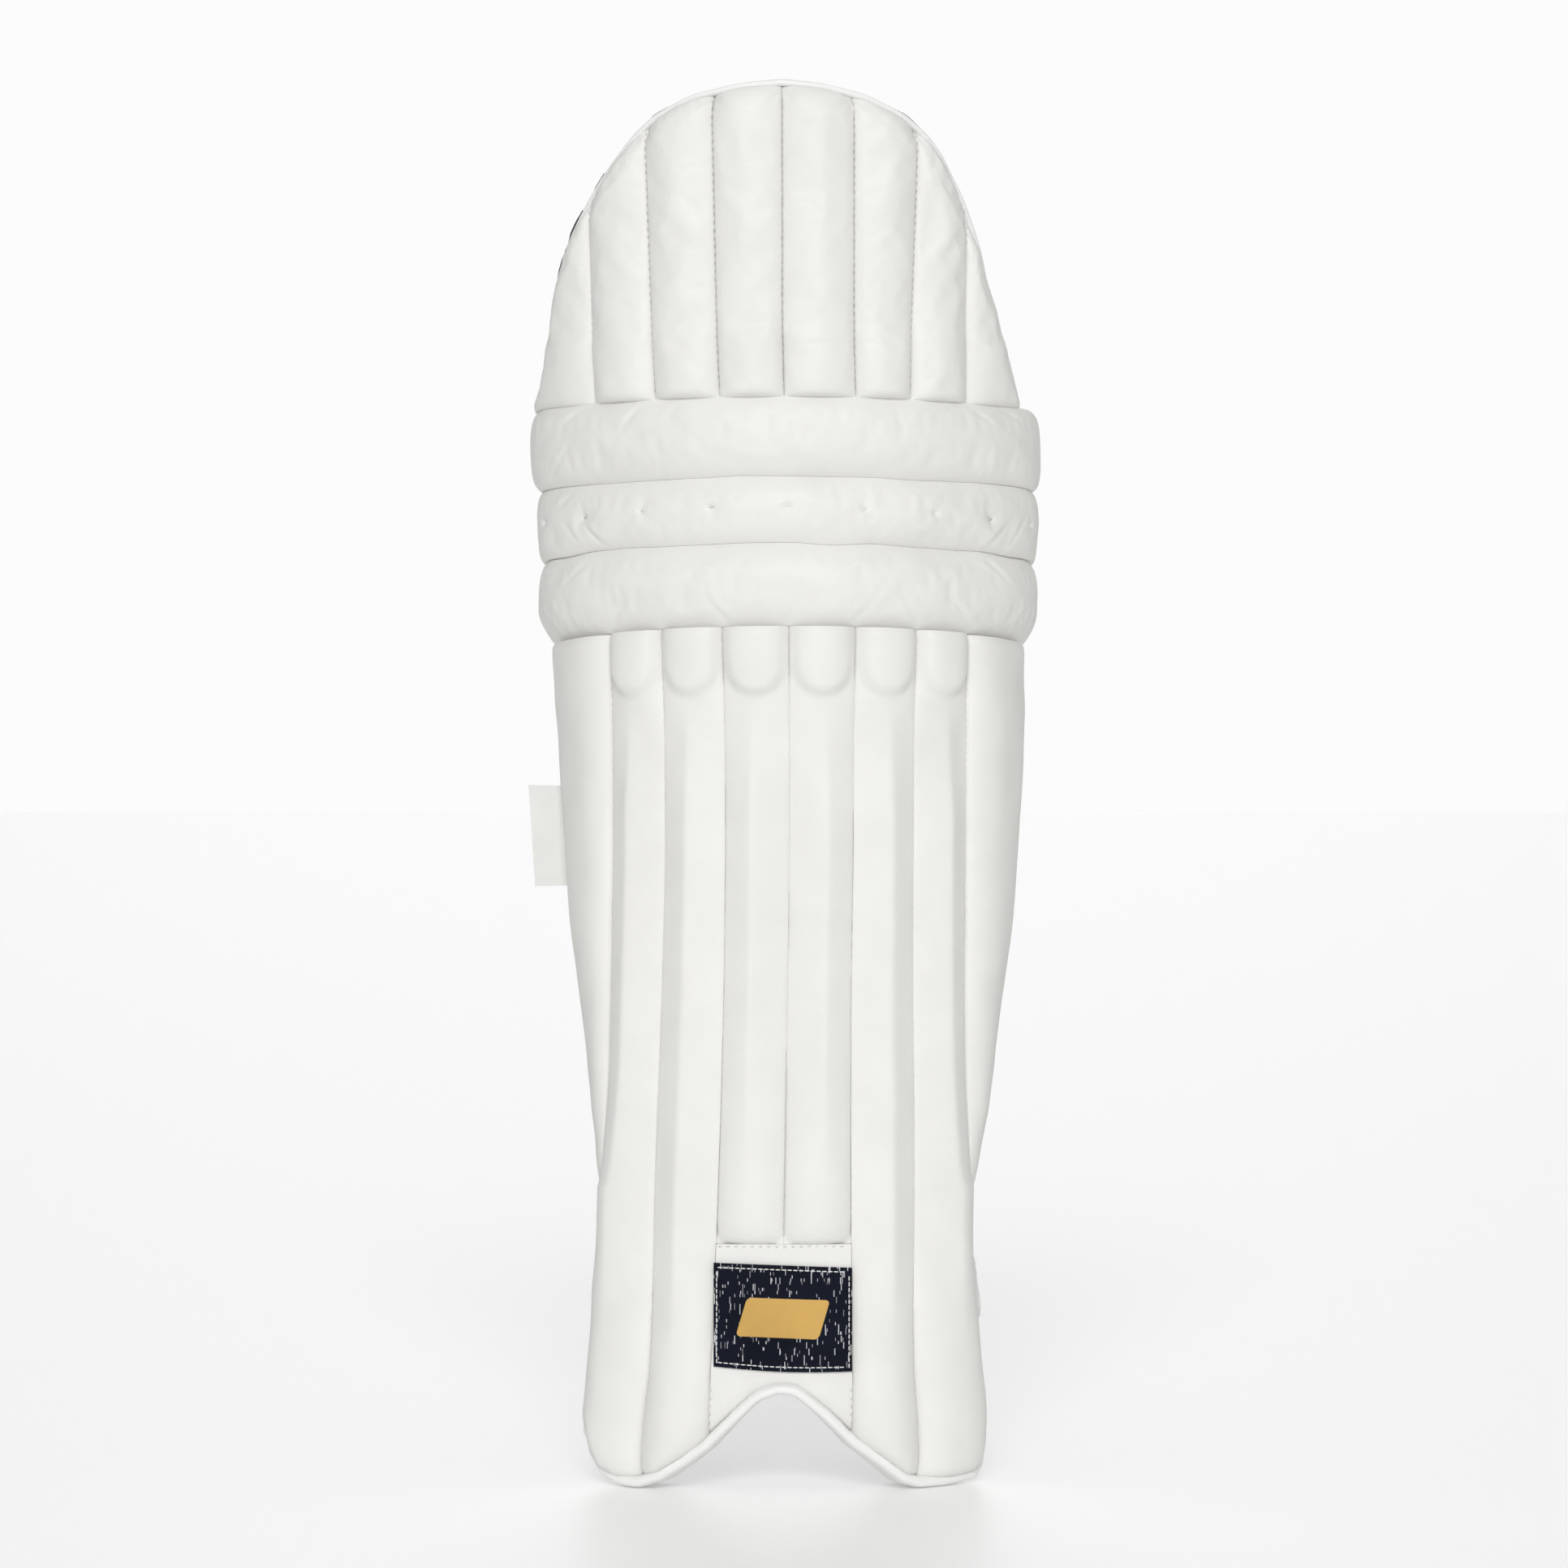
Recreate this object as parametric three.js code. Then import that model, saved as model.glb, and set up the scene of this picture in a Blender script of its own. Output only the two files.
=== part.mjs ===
// Cricket leg pad. Millimetres, +Z up, the front of the pad faces -Y.
// The leg's axis is the Z axis and the lowest edge of the pad is at z = 0.
import * as THREE from 'three';

// ---- driving dimensions ----
const SHELL_R = 140;              // outer radius of the channels around the leg
const SEAM_ANGLE = 13.75;         // degrees between neighbouring channel seams
const SHIN_CHANNELS = 6;
const FLAP_CHANNELS = 8;
const GAP = 0.35;                 // clearance between neighbouring solids
const CHANNEL_DEPTH = 21;         // radial thickness of a padded channel
const CHANNEL_CROWN = 4;          // how far a channel's ridge stands proud of its seams
const CANE_DEPTH = 4;
const CANE_WIDTH = 22;
const BACKING_DEPTH = 4;
const BINDING_WIDTH = 5;
const EDGE_CLEARANCE = 1.6;       // between a binding and the padding inside it

const SHIN_TOP = 446;             // seam under the lower knee roll, on the centre line
const LOWER_SEAM = 488;           // seam between the lower and middle knee rolls
const MIDDLE_SEAM = 523;          // seam between the middle and upper knee rolls
const FLAP_SEAM = 561;            // seam between the upper knee roll and the top flap
const SEAM_DROP = 8;              // how far these seams fall at the sides of the pad
const INSTEP_TOP = 129;           // foot of the two centre channels

const ROLL_TURN = 60;             // degrees: a knee roll turns in behind this angle
const ROLL_TURN_RADIUS = 60;
const ROLL_END = 194;             // half length of a knee roll along its outer face
const ROLL_DEPTH = 29;
const ROLL_CROWN = 5;
const ROLL_END_RELIEF = 2.4;      // the rolls' ends are lower so that the knee can bend

const TUCK = 18;                  // degrees by which the sides turn in behind the widest line
const WING_TOP = 436;
const WING_BOTTOM = 20;
const WING_SWELL = 2.5;           // how far the front of a wing stands proud
const WING_WELL = 3;              // how far the wing thins towards its rear edge, where straps lie
const BADGE_WIDTH = 71.5;
const BADGE_HEIGHT = 54;
const BADGE_CENTRE_Z = 89.5;
const BADGE_THICKNESS = 1.6;
const INSTEP_FACE_Y = -137;
const TAG_HEIGHT = 54;
const TAG_REACH = 16.5;
const TAG_CENTRE_Z = 337;
const TAG_Y = -52;
const TAG_GAP = 0.6;

const STRAP_WIDTH = 38;
const STRAP_THICKNESS = 2.6;
const TAPE_THICKNESS = 1;
const STRAPS = [
  { name: 'top', z: 402, hingeY: -8, tip: 30, backY: 42 },
  { name: 'middle', z: 259, hingeY: -20, tip: 42, backY: 44 },
  { name: 'ankle', z: 101, hingeY: -48, tip: 34, backY: 4 },
];

// The pad's edge, as distance around the outer face from the centre line and height.
const FLAP_EDGE = [[0, 729], [45, 722], [67, 711], [90, 690], [112, 659], [128, 627], [144, 585], [154, 558]];
const FOOT_EDGE = [[0, 48], [14, 43], [24, 34.5], [37, 20], [52, 11], [65, 2.7], [77, 0], [92, 1.5], [100.4, 6]];
// Height against the radius of the wing's turn, and against the Y of its rear edge.
const WING_RADIUS = [[0, 26], [90, 23], [150, 20], [200, 29], [240, 44], [300, 66], [380, 80], [440, 91]];
const WING_REAR = [[20, -80], [40, -66], [100, -50], [180, -35], [260, -22], [340, -13], [405, -8], [436, -30]];
// Height against the share of the wing's width that the swell takes up.
const WING_SWELL_END = [[100, 0.28], [260, 0.45], [404, 0.6]];
const WING_DEPTH = [[0, 10], [200, 11], [300, 16], [440, 18]];

const COLOURS = {
  hide: 0xf1f1ee,
  binding: 0xf6f6f4,
  lining: 0x2b3038,
  inner: 0xdedfdd,
  cane: 0xc9a468,
  badge: 0x1d2740,
  strap: 0xe6e6e3,
  hook: 0x3a3d42,
  loop: 0xcfd0ce,
  label: 0xececea,
};

const rad = THREE.MathUtils.degToRad;
const mix = THREE.MathUtils.lerp;
const WING_SEAM = SHELL_R * rad(SEAM_ANGLE * SHIN_CHANNELS / 2);
const group = new THREE.Group();
group.name = 'cricket_leg_pad';

// ---- helpers ----
function along(table, at) {
  if (at <= table[0][0]) {
    return table[0][1];
  }
  for (let i = 1; i < table.length; i += 1) {
    if (at <= table[i][0]) {
      const t = (at - table[i - 1][0]) / (table[i][0] - table[i - 1][0]);
      return mix(table[i - 1][1], table[i][1], t);
    }
  }
  return table[table.length - 1][1];
}

// Plan section of the pad: an arc around the leg, a tighter turn that tucks in, then straight back.
function onShell(s, z, depth, turnAngle = SEAM_ANGLE * SHIN_CHANNELS / 2, radius = along(WING_RADIUS, z)) {
  const side = s < 0 ? -1 : 1;
  const reach = Math.abs(s);
  const turn = rad(turnAngle);
  const last = Math.PI / 2 + rad(TUCK);
  const turnAt = SHELL_R * turn;
  const straightAt = turnAt + radius * (last - turn);
  const centreX = (SHELL_R - radius) * Math.sin(turn);
  const centreY = -(SHELL_R - radius) * Math.cos(turn);
  if (reach <= turnAt) {
    const a = reach / SHELL_R;
    return new THREE.Vector3(side * (SHELL_R - depth) * Math.sin(a), -(SHELL_R - depth) * Math.cos(a), z);
  }
  const a = Math.min(turn + (reach - turnAt) / radius, last);
  const back = Math.max(0, reach - straightAt);
  const x = centreX + (radius - depth) * Math.sin(a) + back * Math.cos(last);
  return new THREE.Vector3(side * x, centreY - (radius - depth) * Math.cos(a) + back * Math.sin(last), z);
}

// Distance around the outer face at which a wing reaches a given Y.
function wingReach(y, z) {
  let near = WING_SEAM;
  let far = WING_SEAM + 200;
  for (let i = 0; i < 40; i += 1) {
    const middle = (near + far) / 2;
    if (onShell(middle, z, 0).y < y) {
      near = middle;
    } else {
      far = middle;
    }
  }
  return (near + far) / 2;
}

// A closed solid between two grids of points, one on the outer face and one on the inner face.
function solid(name, colour, columns, rows, outer, inner, roughness = 0.6) {
  const points = [];
  const faces = [];
  const width = columns + 1;
  const layer = width * (rows + 1);
  for (const face of [outer, inner]) {
    for (let j = 0; j <= rows; j += 1) {
      for (let i = 0; i <= columns; i += 1) {
        points.push(...face(i / columns, j / rows).toArray());
      }
    }
  }
  const quad = (a, b, c, d) => faces.push(a, b, c, a, c, d);
  for (let j = 0; j < rows; j += 1) {
    for (let i = 0; i < columns; i += 1) {
      const a = j * width + i;
      quad(a, a + 1, a + 1 + width, a + width);
      quad(layer + a, layer + a + width, layer + a + 1 + width, layer + a + 1);
    }
  }
  for (let i = 0; i < columns; i += 1) {
    const top = rows * width + i;
    quad(i + 1, i, layer + i, layer + i + 1);
    quad(top, top + 1, layer + top + 1, layer + top);
  }
  for (let j = 0; j < rows; j += 1) {
    const left = j * width;
    const right = left + columns;
    quad(left, left + width, layer + left + width, layer + left);
    quad(right + width, right, layer + right, layer + right + width);
  }
  const geometry = new THREE.BufferGeometry();
  geometry.setAttribute('position', new THREE.Float32BufferAttribute(points, 3));
  geometry.setIndex(volume(points, faces) < 0 ? faces.reverse() : faces);
  geometry.computeVertexNormals();
  const material = new THREE.MeshStandardMaterial({ color: colour, roughness, metalness: 0 });
  const mesh = new THREE.Mesh(geometry, material);
  mesh.name = name;
  group.add(mesh);
  return mesh;
}

function volume(points, faces) {
  let sum = 0;
  const at = (i) => new THREE.Vector3(points[3 * i], points[3 * i + 1], points[3 * i + 2]);
  for (let f = 0; f < faces.length; f += 3) {
    sum += at(faces[f]).dot(at(faces[f + 1]).cross(at(faces[f + 2])));
  }
  return sum;
}

// A panel of the shell between two distances around it and two heights.
function panel(name, colour, columns, rows, area, outerDepth, innerDepth, section = []) {
  const place = (u, v) => {
    const s = mix(area.from, area.to, u);
    const low = typeof area.low === 'function' ? area.low(s) : area.low;
    const high = typeof area.high === 'function' ? area.high(s) : area.high;
    return [s, mix(low, high, v)];
  };
  const face = (depth) => (u, v) => {
    const [s, z] = place(u, v);
    return onShell(s, z, typeof depth === 'function' ? depth(u, v) : depth, ...section);
  };
  return solid(name, colour, columns, rows, face(outerDepth), face(innerDepth));
}

// The same distance inside an edge everywhere, as a list of [s, z] points from side to side.
function insetEdge(halfEdge, distance, upward, count) {
  const left = halfEdge.slice(1).reverse().map(([s, z]) => new THREE.Vector2(-s, z));
  const right = halfEdge.map(([s, z]) => new THREE.Vector2(s, z));
  const spline = new THREE.SplineCurve([...left, ...right]);
  const list = [];
  for (let i = 0; i <= count; i += 1) {
    const point = spline.getPointAt(i / count);
    const tangent = spline.getTangentAt(i / count);
    const normal = new THREE.Vector2(-tangent.y, tangent.x).multiplyScalar(upward ? distance : -distance);
    list.push(point.add(normal));
  }
  return list;
}

function heightOn(edge, s) {
  return along(edge.map((p) => [p.x, p.y]), s);
}

// A flat band that binds an edge, as deep as the padding that it wraps.
function band(name, colour, halfEdge, upward, count, outerDepth, innerDepth, section = []) {
  const outerEdge = insetEdge(halfEdge, 0, upward, count);
  const innerEdge = insetEdge(halfEdge, BINDING_WIDTH, upward, count);
  const face = (depth) => (u, v) => {
    const i = Math.round(u * count);
    const p = outerEdge[i].clone().lerp(innerEdge[i], v);
    return onShell(p.x, p.y, depth, ...section);
  };
  return solid(name, colour, count, 1, face(outerDepth), face(innerDepth));
}

const ridge = (u) => 1 - Math.abs(2 * u - 1) ** 1.6;
const drop = (s) => SEAM_DROP * Math.min(1, Math.abs(s) / ROLL_END) ** 2;

// ---- shin: channels, canes, backing and inner bolsters ----
const footInside = insetEdge(FOOT_EDGE, BINDING_WIDTH + EDGE_CLEARANCE, true, 40);
for (let i = 0; i < SHIN_CHANNELS; i += 1) {
  const from = SHELL_R * rad(SEAM_ANGLE * (i - SHIN_CHANNELS / 2)) + GAP;
  const to = SHELL_R * rad(SEAM_ANGLE * (i + 1 - SHIN_CHANNELS / 2)) - GAP;
  const centre = i === 2 || i === 3;
  const area = {
    from,
    to,
    low: centre ? INSTEP_TOP : (s) => heightOn(footInside, s),
    high: (s) => SHIN_TOP - 1 - drop(s),
  };
  const crown = (u) => -CHANNEL_CROWN * ridge(u);
  panel(`shin_channel_${i + 1}`, COLOURS.hide, 4, 6, area, crown, CHANNEL_DEPTH);

  const middle = (from + to) / 2;
  const caneFrom = CHANNEL_DEPTH + GAP;
  const cane = {
    from: middle - CANE_WIDTH / 2,
    to: middle + CANE_WIDTH / 2,
    low: centre ? INSTEP_TOP + 8 : 46,
    high: SHIN_TOP - 14,
  };
  panel(`shin_cane_${i + 1}`, COLOURS.cane, 2, 1, cane, caneFrom, caneFrom + CANE_DEPTH);
}
const backingFrom = CHANNEL_DEPTH + CANE_DEPTH + 2 * GAP;
const backingTo = backingFrom + BACKING_DEPTH;
const shinBacking = {
  from: -WING_SEAM + 1,
  to: WING_SEAM - 1,
  low: (s) => heightOn(footInside, s),
  high: (s) => SHIN_TOP - 2 - drop(s),
};
panel('shin_backing', COLOURS.inner, 20, 2, shinBacking, backingFrom, backingTo);

for (const [side, name] of [[-1, 'left'], [1, 'right']]) {
  const bolster = { from: side * 36, to: side * 78, low: 110, high: 420 };
  const pillow = (u, v) => {
    const round = Math.sqrt(Math.max(0, 1 - Math.abs(2 * v - 1) ** 8));
    return backingTo + GAP + 8 + 11 * round * (1 - Math.abs(2 * u - 1) ** 3);
  };
  panel(`shin_bolster_${name}`, COLOURS.inner, 6, 8, bolster, backingTo + GAP, pillow);
}

// ---- instep: panel, badge and foot binding ----
const instepHalf = SHELL_R * rad(SEAM_ANGLE) - GAP;
const instepPoint = (flat) => (u, v) => {
  const s = mix(-instepHalf, instepHalf, u);
  const z = mix(heightOn(footInside, s), INSTEP_TOP - GAP, v);
  const point = onShell(s, z, CHANNEL_DEPTH);
  if (flat) {
    point.x = onShell(s, z, 0).x * 0.995;
    point.y = INSTEP_FACE_Y;
  }
  return point;
};
solid('instep_panel', COLOURS.hide, 10, 2, instepPoint(true), instepPoint(false));

const badgePoint = (y) => (u, v) => new THREE.Vector3(
  BADGE_WIDTH * (u - 0.5),
  y,
  BADGE_CENTRE_Z + BADGE_HEIGHT * (v - 0.5),
);
const badgeBack = INSTEP_FACE_Y - GAP;
solid('badge_patch', COLOURS.badge, 1, 1, badgePoint(badgeBack - BADGE_THICKNESS), badgePoint(badgeBack));
band('foot_binding', COLOURS.binding, FOOT_EDGE, true, 40, -1, CHANNEL_DEPTH + CANE_DEPTH);

// ---- wings, with their linings and bindings ----
for (const [side, name] of [[-1, 'left'], [1, 'right']]) {
  const wingPoint = (depth, inset) => (u, v) => {
    const z = mix(WING_BOTTOM + inset, WING_TOP - inset, v);
    const rear = wingReach(along(WING_REAR, z) - inset, z);
    const s = mix(WING_SEAM + GAP, rear, u);
    const pad = along(WING_DEPTH, z);
    return onShell(side * s, z, depth(pad, u / along(WING_SWELL_END, z)));
  };
  const inset = BINDING_WIDTH;
  const swell = (pad, u) => {
    const well = WING_WELL * THREE.MathUtils.smoothstep(u, 0.95, 1.15);
    return well - WING_SWELL * ridge(Math.min(1, u));
  };
  const back = (pad) => pad;
  solid(`wing_${name}`, COLOURS.hide, 14, 14, wingPoint(swell, inset), wingPoint(back, inset));
  const liningFrom = (pad) => pad + GAP;
  const liningTo = (pad) => pad + GAP + 2.2;
  solid(`wing_lining_${name}`, COLOURS.inner, 14, 14, wingPoint(liningFrom, inset), wingPoint(liningTo, inset));

  const stations = 26;
  const edgePoint = (depth) => (u, v) => {
    const z = mix(WING_BOTTOM + inset, WING_TOP - inset, u);
    const pad = along(WING_DEPTH, z);
    const rear = along(WING_REAR, z) - inset + EDGE_CLEARANCE;
    return onShell(side * wingReach(mix(rear, rear + inset - EDGE_CLEARANCE, v), z), z, depth(pad));
  };
  const proud = () => WING_WELL - 0.8;
  const bindingTo = (pad) => pad + GAP + 2.4;
  solid(`wing_binding_${name}`, COLOURS.binding, stations, 1, edgePoint(proud), edgePoint(bindingTo));
}

// ---- side tag, sewn to the left wing ----
const tagRoot = -(onShell(wingReach(TAG_Y, TAG_CENTRE_Z), TAG_CENTRE_Z, 0).x + TAG_GAP);
const tagPoint = (y) => (u, v) => new THREE.Vector3(
  tagRoot - TAG_REACH * u,
  y,
  TAG_CENTRE_Z + TAG_HEIGHT * (v - 0.5),
);
solid('side_tag', COLOURS.label, 1, 1, tagPoint(TAG_Y), tagPoint(TAG_Y + 1));

// ---- straps: each swings open about its sewn end on the left wing ----
const STRAP_TIP = 0.16;           // share of a strap that lies on the right wing
for (const strap of STRAPS) {
  const low = strap.z - STRAP_WIDTH / 2;
  const bend = 0.7;
  const strapPoint = (offset) => (u, v) => {
    const z = low + STRAP_WIDTH * v;
    const root = wingReach(strap.hingeY, z);
    if (u > 1 - STRAP_TIP) {
      return onShell(root - strap.tip * (u - 1 + STRAP_TIP) / STRAP_TIP, z, -offset);
    }
    const end = onShell(root, z, -offset);
    const a = Math.PI * (1 - u / (1 - STRAP_TIP));
    const across = Math.sign(Math.cos(a)) * Math.abs(Math.cos(a)) ** bend;
    const back = Math.abs(Math.sin(a)) ** bend;
    return new THREE.Vector3(end.x * across, mix(end.y, strap.backY + offset, back), z);
  };
  const loopFrom = GAP + 0.5 - WING_WELL;
  const hookFrom = loopFrom + TAPE_THICKNESS + GAP;
  const strapFrom = hookFrom + TAPE_THICKNESS + 3 * GAP;
  const strapTo = strapFrom + STRAP_THICKNESS;
  solid(`strap_${strap.name}`, COLOURS.strap, 25, 1, strapPoint(strapTo), strapPoint(strapFrom));

  // a patch on a wing's outer face, from and to distances ahead of the strap's hinge
  const patch = (name, colour, side, ahead, margin, offset, thickness) => {
    const point = (depth) => (u, v) => {
      const z = mix(low + margin, low + STRAP_WIDTH - margin, v);
      return onShell(side * (wingReach(strap.hingeY, z) - mix(ahead[1], ahead[0], u)), z, -depth);
    };
    solid(`${name}_${strap.name}`, colour, 4, 1, point(offset + thickness), point(offset));
  };
  const landing = [6, strap.tip - 2];
  patch('loop_patch', COLOURS.loop, 1, landing, 3, loopFrom, TAPE_THICKNESS);
  patch('hook_tape', COLOURS.hook, 1, landing, 3, hookFrom, TAPE_THICKNESS);
  patch('strap_anchor', COLOURS.strap, -1, [1, 25], 0, loopFrom, strapTo - loopFrom);
}

// ---- knee rolls, each with its own lining ----
const ROLLS = [['lower', SHIN_TOP, LOWER_SEAM], ['middle', LOWER_SEAM, MIDDLE_SEAM], ['upper', MIDDLE_SEAM, FLAP_SEAM]];
for (const [name, low, high] of ROLLS) {
  const relief = (s) => 0.6 + ROLL_END_RELIEF * Math.max(0, (Math.abs(s) - 120) / (ROLL_END - 120));
  const area = (end, extra) => ({
    from: -end,
    to: end,
    low: (s) => low + relief(s) + extra - drop(s),
    high: (s) => high - relief(s) - extra - drop(s),
  });
  const section = [ROLL_TURN, ROLL_TURN_RADIUS];
  const roundEnd = (u) => Math.sqrt(Math.max(0, 1 - Math.abs(2 * u - 1) ** 14));
  const crown = (u, v) => 6 - (6 + ROLL_CROWN) * (1 - Math.abs(2 * v - 1) ** 2.4) * roundEnd(u);
  panel(`knee_roll_${name}`, COLOURS.hide, 26, 6, area(ROLL_END, 0), crown, ROLL_DEPTH, section);
  const liningFrom = ROLL_DEPTH + GAP;
  const liningArea = area(ROLL_END - 8, 1);
  panel(`knee_lining_${name}`, COLOURS.inner, 22, 1, liningArea, liningFrom, liningFrom + 4, section);
}

// ---- top flap: channels, dark lining and arched binding ----
const flat = [89, 1];
const flapInside = insetEdge(FLAP_EDGE, BINDING_WIDTH + EDGE_CLEARANCE, false, 60);
const flapEnd = flapInside[flapInside.length - 1].x;
for (let i = 0; i < FLAP_CHANNELS; i += 1) {
  const outermost = i === 0 || i === FLAP_CHANNELS - 1;
  const side = i === 0 ? -1 : 1;
  const seam = (k) => SHELL_R * rad(SEAM_ANGLE * (k - FLAP_CHANNELS / 2));
  const crown = (u) => -CHANNEL_CROWN * ridge(u);
  const name = `flap_channel_${i + 1}`;
  if (outermost) {
    const start = SHELL_R * rad(SEAM_ANGLE * (FLAP_CHANNELS / 2 - 1)) + GAP;
    const top = heightOn(flapInside, start + 3);
    const edge = flapInside.filter((p) => p.x > start).map((p) => [-p.y, p.x]);
    const point = (depth) => (u, v) => {
      const z = mix(FLAP_SEAM + 0.6 - drop(start), top, v);
      const s = mix(start, Math.min(along(edge, -z), flapEnd), u);
      return onShell(side * s, z, depth(u), ...flat);
    };
    solid(name, COLOURS.hide, 4, 8, point(crown), point(() => CHANNEL_DEPTH));
  } else {
    const area = {
      from: seam(i) + GAP,
      to: seam(i + 1) - GAP,
      low: (s) => FLAP_SEAM + 0.6 - drop(s),
      high: (s) => heightOn(flapInside, s),
    };
    panel(name, COLOURS.hide, 4, 5, area, crown, CHANNEL_DEPTH, flat);
  }
}
const liningEdge = insetEdge(FLAP_EDGE, 2, false, 60);
const liningSide = liningEdge[liningEdge.length - 1].x - 2;
const flapLining = {
  from: -liningSide,
  to: liningSide,
  low: (s) => FLAP_SEAM + 1 - drop(s),
  high: (s) => heightOn(liningEdge, s),
};
const flapLiningFrom = CHANNEL_DEPTH + GAP;
panel('flap_lining', COLOURS.lining, 24, 2, flapLining, flapLiningFrom, flapLiningFrom + 5, flat);
band('flap_binding', COLOURS.binding, FLAP_EDGE, false, 48, -1, CHANNEL_DEPTH, flat);

export default group;
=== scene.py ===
"""The looks of a cricket leg pad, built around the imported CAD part, whose front faces -Y.

The frame is in metres. Sizes in this script are in millimetres where nothing else is said."""
import math

import bpy
import numpy as np
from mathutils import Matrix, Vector


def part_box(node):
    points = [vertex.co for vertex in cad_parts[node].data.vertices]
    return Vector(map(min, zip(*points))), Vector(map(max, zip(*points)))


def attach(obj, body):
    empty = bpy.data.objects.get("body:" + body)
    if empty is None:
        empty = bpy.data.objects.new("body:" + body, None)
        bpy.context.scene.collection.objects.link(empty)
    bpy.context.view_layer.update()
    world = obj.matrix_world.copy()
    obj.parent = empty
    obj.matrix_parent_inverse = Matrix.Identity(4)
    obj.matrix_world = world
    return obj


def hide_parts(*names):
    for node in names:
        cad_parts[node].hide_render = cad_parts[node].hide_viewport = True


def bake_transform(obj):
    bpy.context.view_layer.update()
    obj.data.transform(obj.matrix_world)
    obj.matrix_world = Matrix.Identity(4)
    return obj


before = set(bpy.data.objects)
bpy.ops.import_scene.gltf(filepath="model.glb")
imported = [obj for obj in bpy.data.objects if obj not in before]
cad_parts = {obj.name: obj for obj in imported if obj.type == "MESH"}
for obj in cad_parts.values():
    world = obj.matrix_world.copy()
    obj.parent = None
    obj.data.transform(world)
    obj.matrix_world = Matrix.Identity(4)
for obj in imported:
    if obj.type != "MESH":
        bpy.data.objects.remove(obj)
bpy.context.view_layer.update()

# ---- the shell: radius, and how far it turns before its sides bend away with a radius of their own ----
SHELL_R = 140.0
SHIN_TURN, FLAP_TURN, ROLL_TURN = math.radians(41.25), math.radians(88), math.radians(60)
FLAP_SIDE_R, ROLL_SIDE_R = 2.0, 60.0
LAST_TURN = math.pi / 2 + math.radians(18)
WING_SEAM = SHELL_R * SHIN_TURN
# height against the wings' bend radius, the Y of their rear edge, and their thickness
WING_RADIUS = [[0, 26], [90, 23], [150, 20], [200, 29], [240, 44], [300, 66], [380, 80], [440, 91]]
WING_REAR = [[20, -80], [40, -66], [100, -50], [180, -35], [260, -22], [340, -13], [405, -8], [426, -9],
             [446, -16]]
WING_DEPTH = [[0, 10], [200, 11], [300, 16], [440, 18]]
# height against how far the pad leans sideways
LEAN = [[0, -3.5], [60, -2.2], [200, 0], [330, 1.8], [440, 1.6], [520, 0.8], [600, -1.2], [729, -1.4]]
# height against how far each side stands out from the even shell, first at even steps
OUT_HEIGHTS = list(range(18, 292, 21))
LEFT_OUT = [5.6, 0.5, 0.8, 0, -0.4, -3.5, -2.7, -4.1, -5.7, -7.0, -6.8, -6.0, -4.9, -3.6]
LEFT_OUT = list(zip(OUT_HEIGHTS, LEFT_OUT)) + [(375, -3.0), (396, -2.4), (428, -1.3)]
RIGHT_OUT = [6.4, 7.0, 4.6, 3.7, 0.2, -1.0, 0.1, -1.3, -1.1, -2.2, -2.15, -2.1, -1.0, -0.4]
RIGHT_OUT = list(zip(OUT_HEIGHTS, RIGHT_OUT)) + [(333, -0.9), (396, -0.4), (428, -2.0)]
# height against the distance of each shin seam from the centre line
SEAM_OUTER = [[8, 99.4], [60, 99.4], [120, 98.3], [150, 97.2], [165, 96.4], [190, 94.6], [215, 92.8],
              [258, 91.7], [320, 91.2], [380, 91.4], [450, 92.2]]
SEAM_SECOND = [[8, 72.7], [38, 71.0], [53, 68.9], [87, 67.8], [149, 67.5], [188, 66.8], [252, 65.2],
               [320, 64.3], [387, 64.6], [450, 66.4]]
SEAM_THIRD = [[27, 37.8], [75, 36.2], [126, 35.0], [188, 33.8], [250, 33.0], [382, 33.2], [450, 34.6]]
# flap seams from left to right: [distance from the centre line at the foot of the flap, at its top, top height]
FLAP_SEAMS = [[-99.1, -101.7, 661], [-67.8, -72.6, 703], [-34.3, -37.6, 722], [-0.6, -0.6, 727],
              [36.9, 37.2, 721], [65.3, 70.6, 701], [94.2, 96.1, 658]]
FLAP_SEAM_FOOT = 562
# the pad's edges as the camera sees them: [distance from the centre line, height]
EDGE_HEIGHTS = [round(574.8 + 10.5 * k, 1) for k in range(15)]
FLAP_LEFT = [(-127.5, 560)] + list(zip((-123.4, -121.6, -120.6, -119.8, -118.8, -117, -114, -111, -106, -100.5,
                                        -94.2, -86.6, -78.6, -67.6, -48), EDGE_HEIGHTS))
FLAP_RIGHT = list(zip((43.6, 64.2, 75.7, 83.2, 88.2, 93.5, 97.4, 101, 103.8, 105.7, 108.5, 111.2, 113.2, 115.1,
                       117.3), EDGE_HEIGHTS[::-1])) + [(120.4, 560)]
FLAP_EDGE = FLAP_LEFT + [(-24, 727.6), (-0.6, 729.8), (22, 727.4)] + FLAP_RIGHT
FOOT_EDGE = [[-102.4, 30], [-101.9, 19.1], [-96.4, 6.5], [-88.4, 1.5], [-78.3, -0.2], [-65.7, 3.2],
             [-52.3, 11.1], [-40.1, 19.5], [-28.8, 30.5], [-20.8, 38], [-14.1, 44.3], [-4, 48.1], [3.6, 47.3],
             [11.6, 41.4], [20.4, 33.8], [33.8, 21.2], [48.5, 11.1], [60.7, 2.3], [69.8, -0.2], [84.6, 1.1],
             [96.8, 4.4], [102.3, 13.2], [103.5, 30]]
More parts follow.
